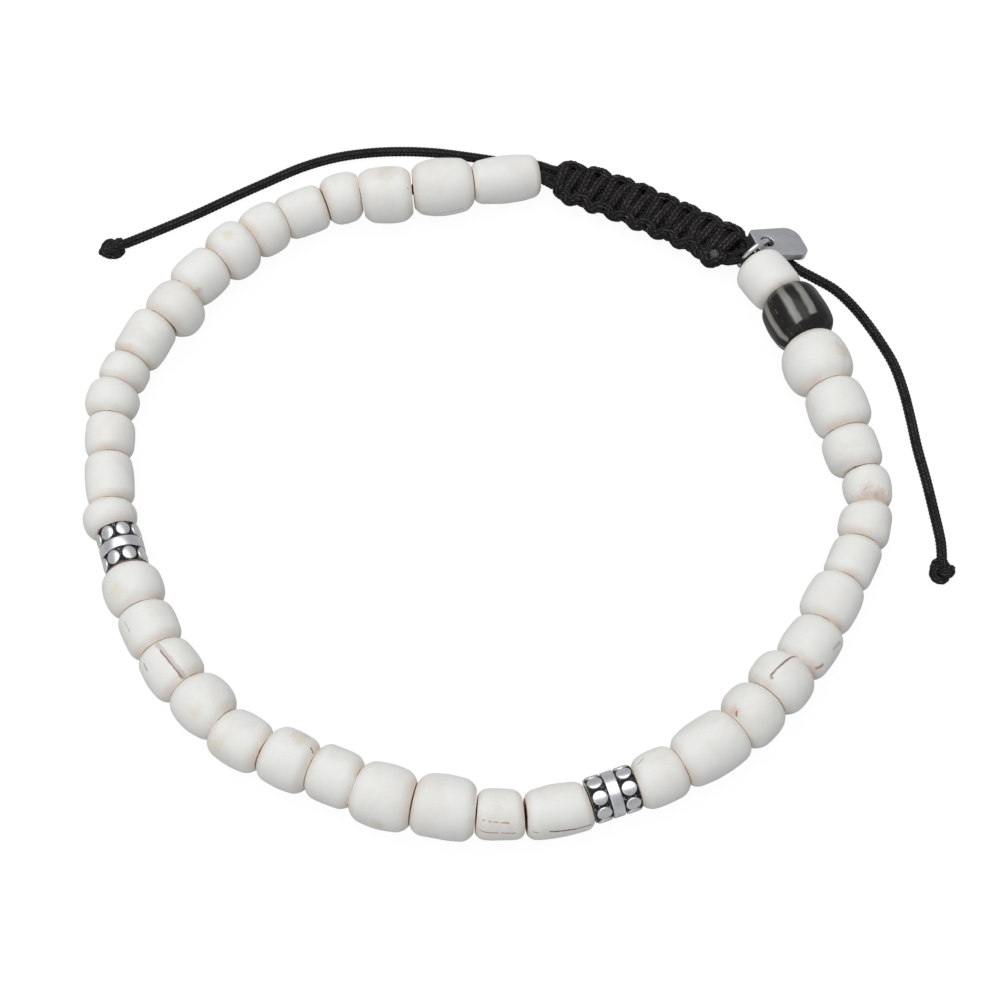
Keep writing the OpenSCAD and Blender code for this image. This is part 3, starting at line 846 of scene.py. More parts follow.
# Veins by bead number: start, end, arrow out of the surface, width, colour, amount, breaks
VEIN_COLUMNS = "Start", "End", "Facing", "Width", "Vein_Colour", "Amount", "Breaks"
VEINS = [
    (6, (40.9, -3.5, 5.2), (41.2, -3.2, 5.4), (-0.2, -0.5, 0.8), 0.12, RUST, 0.4, 0.35),
    (6, (42.1, -3.8, 4.9), (42.6, -3.4, 5.1), (0.3, -0.7, 0.6), 0.12, RUST, 0.45, 0.35),
    (6, (43.4, -3.6, 4.2), (43.6, -3.1, 4.5), (0.6, -0.6, 0.5), 0.08, RUST, 0.5, 0.1),
    (6, (39.5, -3.2, 4.1), (39.9, -3.8, 4.0), (-0.7, -0.6, 0.4), 0.08, RUST, 0.35, 0.1),
    (10, (34.4, -23.7, 4.8), (35.0, -23.5, 4.9), (0.2, -0.8, 0.5), 0.26, RUST, 0.75, 0.25),
    (10, (36.4, -21.7, 5.0), (37.1, -20.9, 4.6), (0.8, -0.3, 0.6), 0.34, SLATE, 0.4, 0.2),
    (11, (29.4, -25.4, 6.5), (32.3, -22.8, 6.0), (-0.2, 0.1, 1), 0.24, MAUVE, 0.7, 0.0),
    (11, (29.5, -25.3, 6.5), (32.1, -23.0, 6.1), (-0.2, 0.1, 1), 0.12, UMBER, 0.85, 0.12),
    (11, (29.4, -25.6, 6.5), (29.6, -25.6, 6.5), (-0.4, -0.2, 0.8), 0.24, RUST, 0.7, 0.0),
    (12, (25.8, -29.1, 6.0), (25.8, -29.4, 5.8), (-0.7, -0.4, 0.6), 0.18, RUST, 0.9, 0.0),
    (14, (15.6, -34.4, 5.1), (16.2, -33.8, 5.1), (-0.6, 0.3, 0.7), 0.11, RUST, 0.6, 0.15),
    (16, (6.7, -41.0, 3.8), (9.2, -40.7, 3.5), (0.2, -0.9, 0.4), 0.14, UMBER, 0.95, 0.1),
    (16, (9.2, -40.7, 3.5), (10.7, -40.0, 3.4), (0.5, -0.8, 0.3), 0.12, UMBER, 0.9, 0.1),
    (16, (5.0, -41.0, 3.8), (5.5, -41.1, 3.9), (-0.2, -0.9, 0.4), 0.10, RUST, 0.7, 0.0),
    (17, (-0.1, -40.2, 5.2), (3.3, -40.6, 4.9), (0, -0.5, 0.8), 0.10, RUST, 0.8, 0.36),
    (17, (-0.4, -40.7, 4.3), (3.2, -41.3, 4.1), (0, -0.8, 0.5), 0.10, RUST, 0.8, 0.36),
    (21, (-17.6, -32.8, 5.5), (-17.4, -33.3, 5.2), (0.7, 0, 0.6), 0.13, UMBER, 0.9, 0.0),
    (24, (-33.9, -21.6, 5.9), (-31.0, -25.0, 5.5), (0.1, -0.2, 1), 0.44, MAUVE, 0.6, 0.0),
    (24, (-33.5, -22.4, 6.0), (-31.2, -25.1, 5.5), (0.1, -0.2, 1), 0.11, UMBER, 0.85, 0.05),
    (24, (-31.4, -25.0, 5.6), (-31.0, -25.2, 5.4), (0.2, -0.4, 0.9), 0.16, RUST, 0.6, 0.0),
    (24, (-35.2, -23.4, 5.0), (-34.8, -24.2, 5.0), (-0.7, -0.3, 0.6), 0.14, SLATE, 0.8, 0.1),
    (25, (-37.4, -18.9, 5.3), (-37.0, -20.0, 5.4), (-0.7, -0.1, 0.7), 0.10, RUST, 0.45, 0.2),
    (28, (-38.3, -5.1, 4.5), (-37.9, -5.9, 3.5), (0.8, 0, 0.4), 0.10, RUST, 0.4, 0.25),
    (40, (-9.1, 35.1, 5.9), (-9.0, 35.0, 5.9), (0.6, -0.2, 0.7), 0.12, RUST, 0.7, 0.0),
    (41, (-7.4, 34.0, 2.9), (-2.6, 34.4, 3.1), (0, -0.9, 0), 0.09, SLATE, 0.5, 0.25),
]
MARKED = {number for number, *_ in PATCHES + VEINS}


def add_marks(g, kind, number, rows, columns, here, colour):
    """Lays a bead's own patches or veins over its colour."""
    for owner, *facts in rows:
        if owner == number:
            colour = g.group(kind, Place=here, Colour=colour, **dict(zip(columns, facts)))["Colour"]
    return colour


def bead_material(name, number, beads):
    """Matt white bone with clouds, warm rims with a painted highlight line and painted shade at the
    joints, a fine grain and the bead's own marks.
    """
    material, g = start_material("white_" + name)
    here = g.millimetres()
    colour = g.group("Cloudy Tint", Place=here, Colour=rgba(beads.white),
                     Cloud_Colour=rgba(beads.cloud), Cloud_Size=4.5, Cloud_Amount=0.7)["Colour"]
    colour = add_marks(g, "Patch", number, PATCHES, PATCH_COLUMNS, here, colour)
    speck = g.span(g.noise(here, 5.0, 3.0, 0.7), 0.3, 0.7, 0.975, 1.02, "LINEAR")
    colour = g.mix(1.0, colour, speck, "MULTIPLY")
    # Painted highlight line on the rims and painted shade at the joints
    colour = g.group("Rim Highlight And Shade", Colour=colour, Place=here, Line_Colour=rgba(beads.rim_highlight),
                     Tint_Colour=rgba(beads.rim_tint))["Colour"]
    colour = add_marks(g, "Vein", number, VEINS, VEIN_COLUMNS, here, colour)
    grain = g.group("Fine Wear", Place=here, Grain_Size=0.35, Scratch_Amount=0.15,
                    Roughness=beads.roughness, Roughness_Change=0.08)
    dress(g, grain["Height"], 0.25, 0.00003, Base_Color=colour, Roughness=grain["Roughness"],
          Specular_IOR_Level=0.35)
    return material


# Stripes round the striped bead: their middles and half width, in degrees
STRIPE_TURNS = (-163, -114, -72, -25, 25, 75, 164)
STRIPE_HALF = 7.2
# Hairlines between the stripes: turn and half width in radians, and amount
HAIRLINES = ((-2.35, 0.013, 0.8), (-2.24, 0.008, 0.5), (-2.80, 0.010, 0.4))


def striped_material(beads):
    """Polished black stone with grey stripes along it that stop short of one end, and grow darker
    towards the other end as painted shade.
    """
    material, g = start_material("striped_stone")
    here = g.millimetres()
    own = g.attribute("bead_place", "Vector")
    x, y, z = g.parts(own)
    turn = g.math("ARCTAN2", y, x) + (g.noise(here, 0.7) - 0.5) * 0.10
    ramp = g.add("ValToRGB", {0: turn * (1 / math.tau) + 0.5})
    stops = ramp.color_ramp.elements
    stops[0].color = stops[1].color = (0, 0, 0, 1)
    half = STRIPE_HALF / 360
    for centre in STRIPE_TURNS:
        for shift, tone in ((-half - 0.006, 0), (-half + 0.006, 0.85), (half - 0.009, 1),
                            (half + 0.006, 0)):
            stops.new(centre / 360 + 0.5 + shift).color = (tone, tone, tone, 1)
    reach = g.math("COSINE", turn - 2.618) * -0.75 + 2.75
    stripe = Wire(g, ramp.outputs[0]) * g.span(reach - z, -0.06, 0.14)
    # Painted shade: the stripes grow darker over the last few millimetres towards the end next to
    # the first bead
    bright = g.span(z, -3.2, -0.8, 0.6, 1.0)
    fibres = g.noise(g.vector("MULTIPLY", own, (4.0, 4.0, 0.5)), 1.0, 4.0, 0.65)
    colour = g.mix(stripe * bright * g.span(fibres, 0.3, 0.7, 0.82, 1.08),
                   rgba(beads.stone_black), rgba(beads.stone_grey))
    for at, half, amount in HAIRLINES:
        hair = g.span(abs(turn - at), half, half * 0.3) * g.span(g.noise(here, 1.6), 0.44, 0.54)
        colour = g.mix(hair * amount, colour, (0.36, 0.20, 0.12, 1))
    wear = g.group("Fine Wear", Place=here, Grain_Size=0.5, Scratch_Amount=0.1, Roughness=0.30,
                   Roughness_Change=0.06)
    dress(g, wear["Height"], 0.1, 0.00002, Base_Color=colour, Roughness=wear["Roughness"],
          Specular_IOR_Level=0.28)
    return material


def silver_material(name, tone, roughness, grain, scratch, strength):
    material, g = start_material(name)
    here = g.millimetres()
    wear = g.group("Fine Wear", Place=here, Grain_Size=grain, Scratch_Amount=scratch,
                   Roughness=roughness, Roughness_Change=0.06)
    colour = g.group("Cloudy Tint", Place=here, Colour=rgba(tone),
                     Cloud_Colour=rgba(c * 0.8 for c in tone), Cloud_Size=1.2, Cloud_Amount=0.5)
    dress(g, wear["Height"], strength, 0.00003, Base_Color=colour["Colour"],
          Roughness=wear["Roughness"], Metallic=1.0)
    return material


def ground_material(silver):
    """Granular, blackened silver between the studs, with bright grains."""
    material, g = start_material("spacer_ground")
    here = g.millimetres()
    grain = g.span(g.wire("TexVoronoi", {"Vector": here, "Scale": 6.5}, "Distance"), 0.55, 0.05)
    spark = grain * g.span(g.noise(here, 2.6), 0.52, 0.62)
    dress(g, grain, 0.8, 0.00008, Base_Color=g.mix(spark, rgba(silver.dark), rgba(silver.bright)),
          Roughness=g.span(spark, 0.0, 1.0, 0.55, 0.18, "LINEAR"), Metallic=1.0)
    return material


def cord_material(cord):
    material, g = start_material("black_waxed_cord")
    out = g.group("Waxed Fibre", Deep_Colour=rgba(cord.groove_shade_colour),
                  Top_Colour=rgba(cord.lit_top_colour), Glint_Colour=rgba(cord.glint_colour),
                  Glint_Amount=0.5, Columns=float(BRAID_COLUMNS))
    dress(g, out["Height"], 0.9, 0.00010, Base_Color=out["Colour"], Roughness=out["Roughness"],
          Specular_IOR_Level=0.19)
    return material


def melted_material():
    """Black cord melted to a lumpy, glossy end."""
    material, g = start_material("melted_cord")
    lumps = g.noise(g.millimetres(), 2.6, 3.0, 0.6)
    dress(g, lumps, 1.0, 0.0005,
          Base_Color=g.mix(lumps, (0.004, 0.004, 0.004, 1), (0.03, 0.027, 0.026, 1)),
          Roughness=g.span(lumps, 0.3, 0.7, 0.10, 0.26, "LINEAR"), Specular_IOR_Level=1.0,
          Coat_Weight=1.0, Coat_Roughness=0.06)
    return material


def seen_by_camera(g, other, shown, share, end):
    """Shows the camera another shader by a share, and the rest of the scene the first."""
    seen = g.wire("LightPath", {}, "Is Camera Ray") * share
    g.plug(g.nodes[end].inputs["Surface"], g.wire("MixShader", {0: seen, 1: other, 2: shown}))


def floor_material(stage):
    """Pale paper; what the camera sees of it is evened out towards white, as on a light table."""
    material, g = start_material("pale_floor")
    paper = g.span(g.noise(g.millimetres(), 0.6, 4.0, 0.6), 0.3, 0.7, 0.0, 0.05)
    shader = g.nodes["Principled BSDF"]
    g.plug(shader.inputs["Base Color"], g.mix(paper, rgba(stage.floor_colour), (0.5, 0.5, 0.5, 1)))
    shader.inputs["Roughness"].default_value = 0.9
    shader.inputs["Specular IOR Level"].default_value = 0.1
    glow = g.wire("Emission", {"Color": WHITE, "Strength": stage.floor_glow})
    seen_by_camera(g, Wire(g, shader.outputs[0]), glow, 0.86, "Material Output")
    return material


def studio_world(stage):
    """Even grey room, white where the camera looks past the floor."""
    world = bpy.data.worlds.new("studio")
    world.use_nodes = True
    g = Graph(world.node_tree)
    room = g.nodes["Background"]
    room.inputs["Color"].default_value = (0.95, 0.97, 1.0, 1)
    room.inputs["Strength"].default_value = stage.room_light
    white = g.wire("Background", {"Color": WHITE, "Strength": 0.98})
    seen_by_camera(g, Wire(g, room.outputs[0]), white, 1.0, "World Output")
    return world


def finish_piece(obj, name, node, material=None):
    obj.name = name
    obj.data.name = name
    if material:
        obj.data.materials.clear()
        obj.data.materials.append(material)
    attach(obj, "root")
    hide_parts(node)


# ---------------------------------------------------------------- settings


def size(name, description, default, low, high):
    return FloatProperty(name=name, description=description, default=default, min=low, max=high,
                         subtype="DISTANCE", unit="LENGTH", precision=5)


def share(name, description, default, low, high):
    return FloatProperty(name=name, description=description, default=default, min=low, max=high,
                         subtype="FACTOR")


def tint(name, description, default):
    return FloatVectorProperty(name=name, description=description, default=default, size=3,
                               min=0, max=1, subtype="COLOR")


class CordSettings(bpy.types.PropertyGroup):
    thickness: size("Thickness", "Diameter of the braided cord", CORD_D * MM, 0.0009, 0.0013)
    stitch_length: size("Stitch length", "Length of a stitch of the braid", 0.00047, 0.0003, 0.001)
    stitch_depth: size("Stitch depth", "Depth of the grooves between stitches", 0.00011, 0, 0.0002)
    strand_thickness: share("Strand share", "Thickness of the band's strands, by the cord's",
                            1.18, 0.7, 1.3)
    strand_flatness: share("Strand flatness", "How far the band's strands are pressed flat",
                           0.11, 0.0, 0.25)
    # Painted light and shade of the braid: shade in the grooves, light on the stitch tops, and the
    # wax's glints
    groove_shade_colour: tint("Groove colour", "Colour between the stitches", (0.001, 0.001, 0.0012))
    lit_top_colour: tint("Stitch colour", "Colour on top of the stitches", (0.056, 0.049, 0.051))
    glint_colour: tint("Glint colour", "Colour of the wax's glints", (0.15, 0.125, 0.125))


class BeadSettings(bpy.types.PropertyGroup):
    spin_steps: IntProperty(name="Steps", description="Faces round each bead", default=64, min=24,
                            max=96)
    unevenness: size("Unevenness", "How far a bead departs from a true round", 0.00009, 0, 0.00015)
    roughness: share("Roughness", "Roughness of the white beads", 0.52, 0.2, 0.9)
    white: tint("White", "Main colour of the white beads", (0.845, 0.84, 0.805))
    cloud: tint("Cloud", "Colour of the faint clouds", (0.79, 0.765, 0.72))
    # Painted highlight: the pale line on the rims
    rim_highlight: tint("Rim line", "Colour of the thin line on the rims", (0.90, 0.86, 0.79))
    # Partly a stain at the ends, partly painted shade beside the joints
    rim_tint: tint("Rim tint", "Warm tint beside the rims", (0.74, 0.59, 0.48))
    stone_black: tint("Stone black", "Dark colour of the striped bead", (0.012, 0.012, 0.012))
    stone_grey: tint("Stone grey", "Colour of its stripes", (0.31, 0.295, 0.265))


class SilverSettings(bpy.types.PropertyGroup):
    bright: tint("Bright silver", "Colour of polished silver", (0.90, 0.90, 0.91))
    relief: tint("Relief silver", "Colour of a spacer's studs and band", (0.84, 0.84, 0.85))
    dark: tint("Blackened silver", "Colour of the ground between studs", (0.035, 0.035, 0.038))
    ring_tone: tint("Ring silver", "Colour of the jump ring", (0.72, 0.72, 0.73))
    tag_tone: tint("Tag silver", "Colour of the tag", (0.66, 0.66, 0.68))
    stud_d: size("Stud diameter", "Diameter of a spacer's studs", 0.00160, 0.0012, 0.0017)
    stud_count: IntProperty(name="Studs in a row", description="Studs in each ring of a spacer",
                            default=8, min=6, max=8)
    ring_wire: size("Ring wire", "Diameter of the jump ring's wire", 0.0006, 0.0004, 0.0007)


class StageSettings(bpy.types.PropertyGroup):
    floor_colour: tint("Floor", "Colour of the floor", (0.55, 0.55, 0.55))
    floor_glow: share("Floor glow", "Brightness that the floor is evened out to", 1.10, 0, 2)
    room_light: share("Room light", "Strength of the room's even light", 0.44, 0, 1)
    light: FloatProperty(name="Overhead light", description="Power of the overhead light",
                         default=2.2, min=0, max=50, unit="POWER")
    elevation: FloatProperty(name="Camera elevation", description="Angle above the floor",
                             default=math.radians(64), min=0.1, max=1.57, subtype="ANGLE",
                             unit="ROTATION")
    distance: size("Camera distance", "From the camera to the middle of the view", 0.225, 0.1, 1.0)


# ---------------------------------------------------------------- operators


class ANKLET_OT_stage(bpy.types.Operator):
    """Adds the pale floor, the soft lights and the camera"""
    bl_idname = "anklet.stage"
    bl_label = "Stage"

    def execute(self, context):
        stage = context.scene.anklet_stage
        clear_selection()
        bpy.ops.mesh.primitive_plane_add(size=20.0, location=(0, 0, 0))
        floor = context.active_object
        floor.name = "floor"
        floor.data.materials.append(floor_material(stage))
        bpy.ops.object.light_add(type="AREA", location=OVERHEAD_PLACE,
                                 rotation=(math.radians(OVERHEAD_TILT), 0, 0))
        top = context.active_object
        top.name = "overhead_light"
        top.data.shape = "RECTANGLE"
        top.data.size, top.data.size_y = OVERHEAD_SIZE
        top.data.energy = stage.light
        bpy.ops.object.light_add(type="AREA", location=FRONT_PLACE)
        fill = context.active_object
        fill.name = "front_light"
        fill.data.size = FRONT_SIZE
        fill.data.energy = stage.light * FRONT_SHARE
        fill.rotation_euler = (-fill.location).to_track_quat("-Z", "Y").to_euler()
        context.scene.world = studio_world(stage)
        bpy.ops.object.camera_add()
        camera = context.active_object
        camera.name = "photo_camera"
        arm = Vector((0, -math.cos(stage.elevation), math.sin(stage.elevation))) * stage.distance
        camera.location = Vector(VIEW_MIDDLE) * MM + arm
        camera.rotation_euler = (-arm).to_track_quat("-Z", "Y").to_euler()
        camera.data.lens = LENS
        camera.data.sensor_width = FILM
        camera.data.clip_start = 0.01
        context.scene.camera = camera
        context.scene.view_settings.view_transform = "Standard"
        return {"FINISHED"}


def tail_points(s, way, z, route, knot):
    """Route of a tail in millimetres from the band's end to just before its knot."""
    last, middle = np.array(route[-1], float), np.array(knot, float)
    stop = middle + unit(last - middle) * (KNOT_D / 2 - KNOT_SINK)
    x = CORD_D + CORD_CLEAR
    return ([beside_loop(s, x, z), beside_loop(s + way * TAIL_LEAD, x, z)]
            + [np.array(p, float) for p in route] + [stop])


def overhand(middle, forward, roll, stub):
    """Line of an overhand knot: in along forward, once round through itself and out in a stub."""
    wide, thick, lead = 0.616, 0.462, 1.4
    phi = np.linspace(0.42, math.tau - 0.42, 60)
    reach = wide + thick * np.cos(3 * phi)
    knot = np.column_stack([reach * np.sin(2 * phi), reach * np.cos(2 * phi),
                            thick * np.sin(3 * phi)])
    into = [(-lead, 0, 0.02), (-0.95, 0.18, 0.0), (-0.2, 0.52, 0.15)]
    own = np.array(into + knot.tolist() + [(0.15, 0.62, -0.52)] + stub)
    c, s = math.cos(roll), math.sin(roll)
    keep = np.clip((own[:, 0] + lead) / (lead - 0.4), 0, 1)
    x, y, z = own.T
    own = np.column_stack([x, y * (1 - keep) + (c * y - s * z) * keep,
                           z * (1 - keep) + (s * y + c * z) * keep])
    f = unit(np.array(forward, float))
    left = unit(np.cross((0, 0, 1), f))
    return np.array(middle) + own @ np.array([f, left, np.cross(f, left)])


# Tails: side, start on the loop, its way, height, route, knot, the knot's roll, stub and sink
TAILS = (
    ("left", band_from - END_CLEAR, -1, band_z(0), LEFT_TAIL, LEFT_KNOT, 0.4,
     [(0.85, -0.1, -0.45), (1.35, -1.1, -0.1)], 0.0),
    ("right", band_to + END_CLEAR, 1, band_z(1), RIGHT_TAIL, RIGHT_KNOT, 0.35,
     [(-0.05, 0.85, -0.45), (-0.75, 0.9, -0.3)], -0.22),
)


class ANKLET_OT_tails(bpy.types.Operator):
    """Adds the two free tails of cord and the knots at their ends"""
    bl_idname = "anklet.tails"
    bl_label = "Tails"

    def execute(self, context):
        cord = context.scene.anklet_cord
        material = cord_material(cord)
        for side, s, way, z, route, knot, roll, stub, sink in TAILS:
            points = tail_points(s, way, z, route, knot)
            line = open_line(points, TAIL_STEP)
            tail = build_tube(side + "_tail_cord", line, cord)
            finish_piece(tail, side + "_tail_cord", side + "_tail", material)
            forward = np.array(knot) - np.array(route[-1])
            forward[2] *= 0.3
            middle = np.array(knot) + (0, 0, sink)
            wraps = open_line(overhand(middle, forward, roll, stub), KNOT_STEP)
            lump = build_tube(side + "_tail_knot_wraps", wraps, cord, sides=18, girth=0.90,
                              up=(0.2, 0.1, 1))
            finish_piece(lump, side + "_tail_knot_wraps", side + "_tail_knot", material)
            tuple(points[0] * MM)
        return {"FINISHED"}


def string_points():
    """Line of the string through all the holes, with its two bare ends."""
    last = len(BEADS)
    right = [raised(loop_at(band_to + END_CLEAR + (RIGHT_BARE - END_CLEAR) * t),
                    eased(band_z(1), meet_z(0), t)) for t in (0, 0.25, 0.5, 0.75)]
    left = [raised(loop_at(beads_end + (LEFT_BARE - END_CLEAR) * t),
                   eased(meet_z(last), band_z(0), t)) for t in (0.25, 0.5, 0.75, 1)]
    joints = [(hole_ends(k - 1)[1] + hole_ends(k)[0]) / 2 for k in range(1, last)]
    return right, [hole_ends(0)[0]] + joints + [hole_ends(last - 1)[1]], left


class ANKLET_OT_string(bpy.types.Operator):
    """Adds the string that runs through all the beads"""
    bl_idname = "anklet.string"
    bl_label = "String"
    fine_step: size("Fine step", "Steps where the string shows", 0.00009, 0.00005, 0.001)
    long_step: size("Long step", "Steps inside the beads", 0.0007, 0.0001, 0.001)

    def execute(self, context):
        cord = context.scene.anklet_cord
        right, inside, left = string_points()
        corners = np.array(right + inside + left)
        run = run_along(corners)
        first, end = run[len(right)], run[-1 - len(left)]
        joints = run[len(right):len(right) + len(inside)]
        fine_step, long_step = self.fine_step / MM, self.long_step / MM
        s, at = [0.0], 0.0
        while at < run[-1]:
            near = np.abs(joints - at).min() < long_step or at < first or at > end
            at += fine_step if near else long_step
            s.append(min(at, run[-1]))
        s = np.array(s)
        line = points_at(corners, run, s)
        for ends, low, high in ((corners[:len(right) + 1], 0, first),
                                (corners[-1 - len(left):], end, run[-1])):
            part = open_line(ends, 0.02)
            here = (s >= low) & (s <= high)
            share_along = (s[here] - low) / (high - low) * (len(part) - 1)
            line[here] = points_at(part, np.arange(len(part)), share_along)
        obj = build_tube("string_cord", line, cord)
        finish_piece(obj, "string_cord", "string", cord_material(cord))
        return {"FINISHED"}


def band_point(t, x, z):
    """Point of the band t knots from its left end, x outwards and z above its middle line."""
    s = band_from + knot_pitch * min(max(t, -0.05), BAND_KNOTS + 0.05)
    return beside_loop(s, x, band_z(min(max(t / BAND_KNOTS, 0), 1)) + z)


# The band's strands: knots along, then out from its middle line and up. Half a knot of the
# strand over the cores, its way down to the next, the arch of the strand under them beside the
# cores, and that strand's crossing below them
OVER = [(0.13, 1.80, 0.15), (0.21, 1.10, 0.85), (0.25, 0.0, 1.02), (0.29, -1.10, 0.85),
        (0.37, -1.80, 0.15)]
DOWN = (0.5, -1.62, -0.45)
ARCH = [(-0.43, 1.45, -0.6), (-0.43, 1.72, 0.30), (-0.32, 2.08, 0.66), (-0.17, 2.38, 0.42),
        (0.0, 2.48, 0.2), (0.17, 2.38, 0.42), (0.32, 2.08, 0.66), (0.43, 1.72, 0.30),
        (0.43, 1.45, -0.6)]
CROSSING = [(0.19, 1.0, -0.92), (0.25, 0.0, -1.0), (0.31, -1.0, -0.92)]
# The band's first arch lies closer to the cores than the others
FIRST_REACH = 0.86
# The last turn on the band's inner side stands out further than the others
LAST_TURN = [(6.95, -1.3, -0.7), (7.0, -1.75, 0.1), (7.15, -2.3, 0.5), (7.4, -2.8, 0.3),
             (7.62, -2.9, 0.1), (7.82, -2.55, 0.3), (7.95, -1.9, 0.5), (7.98, -1.2, 0.6)]
# The strand's cut and melted end stands in the middle of that turn
MELTED_END = [(7.6, -1.3, 0.1), (7.63, -1.8, 0.7), (7.66, -2.2, 1.05), (7.69, -2.5, 1.25)]
MELTED_LENGTH = 0.4
CORE_X = 1.02
# How far the strands stray from their even line: knots along, out and up
STRAY = (0.022, 0.09, 0.05)
# Lean of the knots, in knots along: their shift, the lean at the left end for each millimetre
# outwards, and its loss from one knot to the next
LEAN_SHIFT, LEAN_START, LEAN_LOSS = 0.06, 0.07, 0.004
# Loose strands at the band's bare ends: left (-1) or right (1), girth, then for each point the
# distance from the band, and out and up from the string
LOOSE = [
    (-1, 0.9, [(-0.6, -0.9, 0.0), (0.5, -0.85, 0.05), (1.4, -0.6, 0.0), (2.25, -0.35, -0.05)]),
    (1, 0.82, [(-0.6, -0.9, 0.1), (0.5, -0.75, 0.45), (1.2, -0.15, 0.85), (1.9, 0.3, 0.95),
               (3.15, 0.1, 0.75)]),
    (1, 0.82, [(-0.6, 1.7, 0.2), (0.3, 1.8, 0.5), (1.0, 1.45, 0.55), (1.7, 0.9, 0.1),
               (2.4, 0.6, -0.45), (3.15, 0.4, -0.6)]),
    (1, 0.82, [(-0.8, -1.5, -0.1), (0.2, -1.75, 0.1), (1.0, -1.45, 0.35), (1.7, -1.0, 0.55),
               (2.2, -0.9, 0.65), (2.7, -1.1, 0.5), (3.15, -1.35, 0.3)]),
]


class ANKLET_OT_knot_band(bpy.types.Operator):
    """Adds the band of square knots: two cores, the strand over them and the strand under them"""
    bl_idname = "anklet.knot_band"
    bl_label = "Knotted band"

    def lean(self, t, x):
        """The knots lean, most at the left end."""
        return t - LEAN_SHIFT + x * (LEAN_START - LEAN_LOSS * t)

    def strand(self, points):
        uneven = np.random.default_rng(7).uniform(-1, 1, (len(points), 3)) * STRAY
        return open_line([band_point(self.lean(t + a, x), x + b, z + c)
                          for (t, x, z), (a, b, c) in zip(points, uneven)], STRAND_STEP)

    def strands(self):
        """Points of the strand over the cores and of the one under them."""
        over, under = [(0.0, 1.75, -0.3)], [(t, -x, z) for t, x, z in CROSSING[1:]]
        last = 2 * BAND_KNOTS - 1
        for half in range(last + 1):
            way, start = 1 - 2 * (half % 2), half * 0.5
            turn = OVER + [DOWN] if half < last else OVER
            over += [(start + t, way * x, z) for t, x, z in turn]
            if half < last:
                # The lower strand comes up round the far side and crosses under the cores
                reach = FIRST_REACH if half == 0 else 1.0
                under += [(start + 0.5 + t, way * x * reach, z) for t, x, z in ARCH]
                under += [(start + 0.5 + t, way * x, z) for t, x, z in CROSSING]
        return over, under

    def outward(self, line):
        """Arrow from the band's middle line to each point of a strand."""
        middle = np.array([band_point(t, 0, 0) for t in np.linspace(0, BAND_KNOTS, 241)])
        nearest = np.linalg.norm(line[:, None, :] - middle[None, :, :], axis=2).argmin(axis=1)
        return line - middle[nearest]

    def melted_end(self, cord):
        """Short stub whose last faces are glossy."""
        line = open_line([band_point(self.lean(t, x), x, z) for t, x, z in MELTED_END], KNOT_STEP)
        stub = build_tube("melted_end", line, cord, up=(0.1, 1, 0.1), girth=1.05)
        reach = (CORD_D / 2 + MELTED_LENGTH) * MM
        for face in stub.data.polygons:
            face.material_index = int((face.center - Vector(line[-1]) * MM).length < reach)
        return stub

    def execute(self, context):
        cord = context.scene.anklet_cord
        over, under = self.strands()
        parts = []
        for name, points in (("over", over), ("under", under), ("last_turn", LAST_TURN)):
            line = self.strand(points)
            parts.append(build_tube(name, line, cord, up=self.outward(line), coarse=1.15,
                                    girth=cord.strand_thickness, flat=cord.strand_flatness))
        for x in (-CORE_X, CORE_X):
            points = [band_point(t, x, 0) for t in np.linspace(0, BAND_KNOTS, 33)]
            parts.append(build_tube("core", open_line(points, CORE_STEP), cord, sides=16,
                                    girth=cord.strand_thickness * 1.2))
        for way, girth, points in LOOSE:
            start = band_from if way < 0 else band_to
            line = open_line([beside_loop(start + way * run, x, bare_z(way, run) + z)
                              for run, x, z in points], LOOSE_STEP)
            parts.append(build_tube("loose", line, cord, sides=18, girth=girth))
        parts.append(self.melted_end(cord))
        materials = cord_material(cord), melted_material()
        for part in parts:
            for material in materials:
                part.data.materials.append(material)
        finish_piece(join(parts), "knotted_strands", "knot_band")
        return {"FINISHED"}


def number_of(name):
    """A bead's place in the order, from 0."""
    return [bead.name for bead in BEADS].index(name)


class ANKLET_OT_white_beads(bpy.types.Operator):
    """Adds the white beads, each spun from its own section with its drilled hole"""
    bl_idname = "anklet.white_beads"
    bl_label = "White beads"

    def execute(self, context):
        beads = context.scene.anklet_beads
        plain = bead_material("plain", None, beads)
        for k, bead in enumerate(BEADS):
            if k + 1 in OTHER_NAMES:
                continue
            obj = build_bead(k, beads)
            own = bead_material(bead.name, k + 1, beads) if k + 1 in MARKED else plain
            finish_piece(obj, "white_" + bead.name, bead.name, own)
        return {"FINISHED"}


class ANKLET_OT_striped_bead(bpy.types.Operator):
    """Adds the one striped stone bead"""
    bl_idname = "anklet.striped_bead"
    bl_label = "Striped bead"

    def execute(self, context):
        beads = context.scene.anklet_beads
        obj = build_bead(number_of("striped_bead"), beads)
        finish_piece(obj, "striped_stone_bead", "striped_bead",
                     striped_material(beads))
        return {"FINISHED"}


# Half of a spacer's section from its hole to the edge of its raised band: radius and height
SPACER_HALF = [
    (BORE_R, 2.35), (BORE_R + 0.1, 2.47), (1.2, 2.5), (2.1, 2.5), (GROUND_R + 0.05, 2.47),
    (GROUND_R + 0.08, 2.42), (GROUND_R + 0.06, 2.37), (GROUND_R, 2.34), (GROUND_R, STUD_ROW),
    (GROUND_R, 0.68), (GROUND_R + 0.05, 0.62), (SPACER_R - 0.04, 0.60), (SPACER_R - 0.01, 0.57),
    (SPACER_R, 0.5)]
# Faces that lie on the dark ground between the studs: radius from, height from and to
GROUND_FROM, GROUND_LOW, GROUND_HIGH = 1.5, 0.6, 2.46


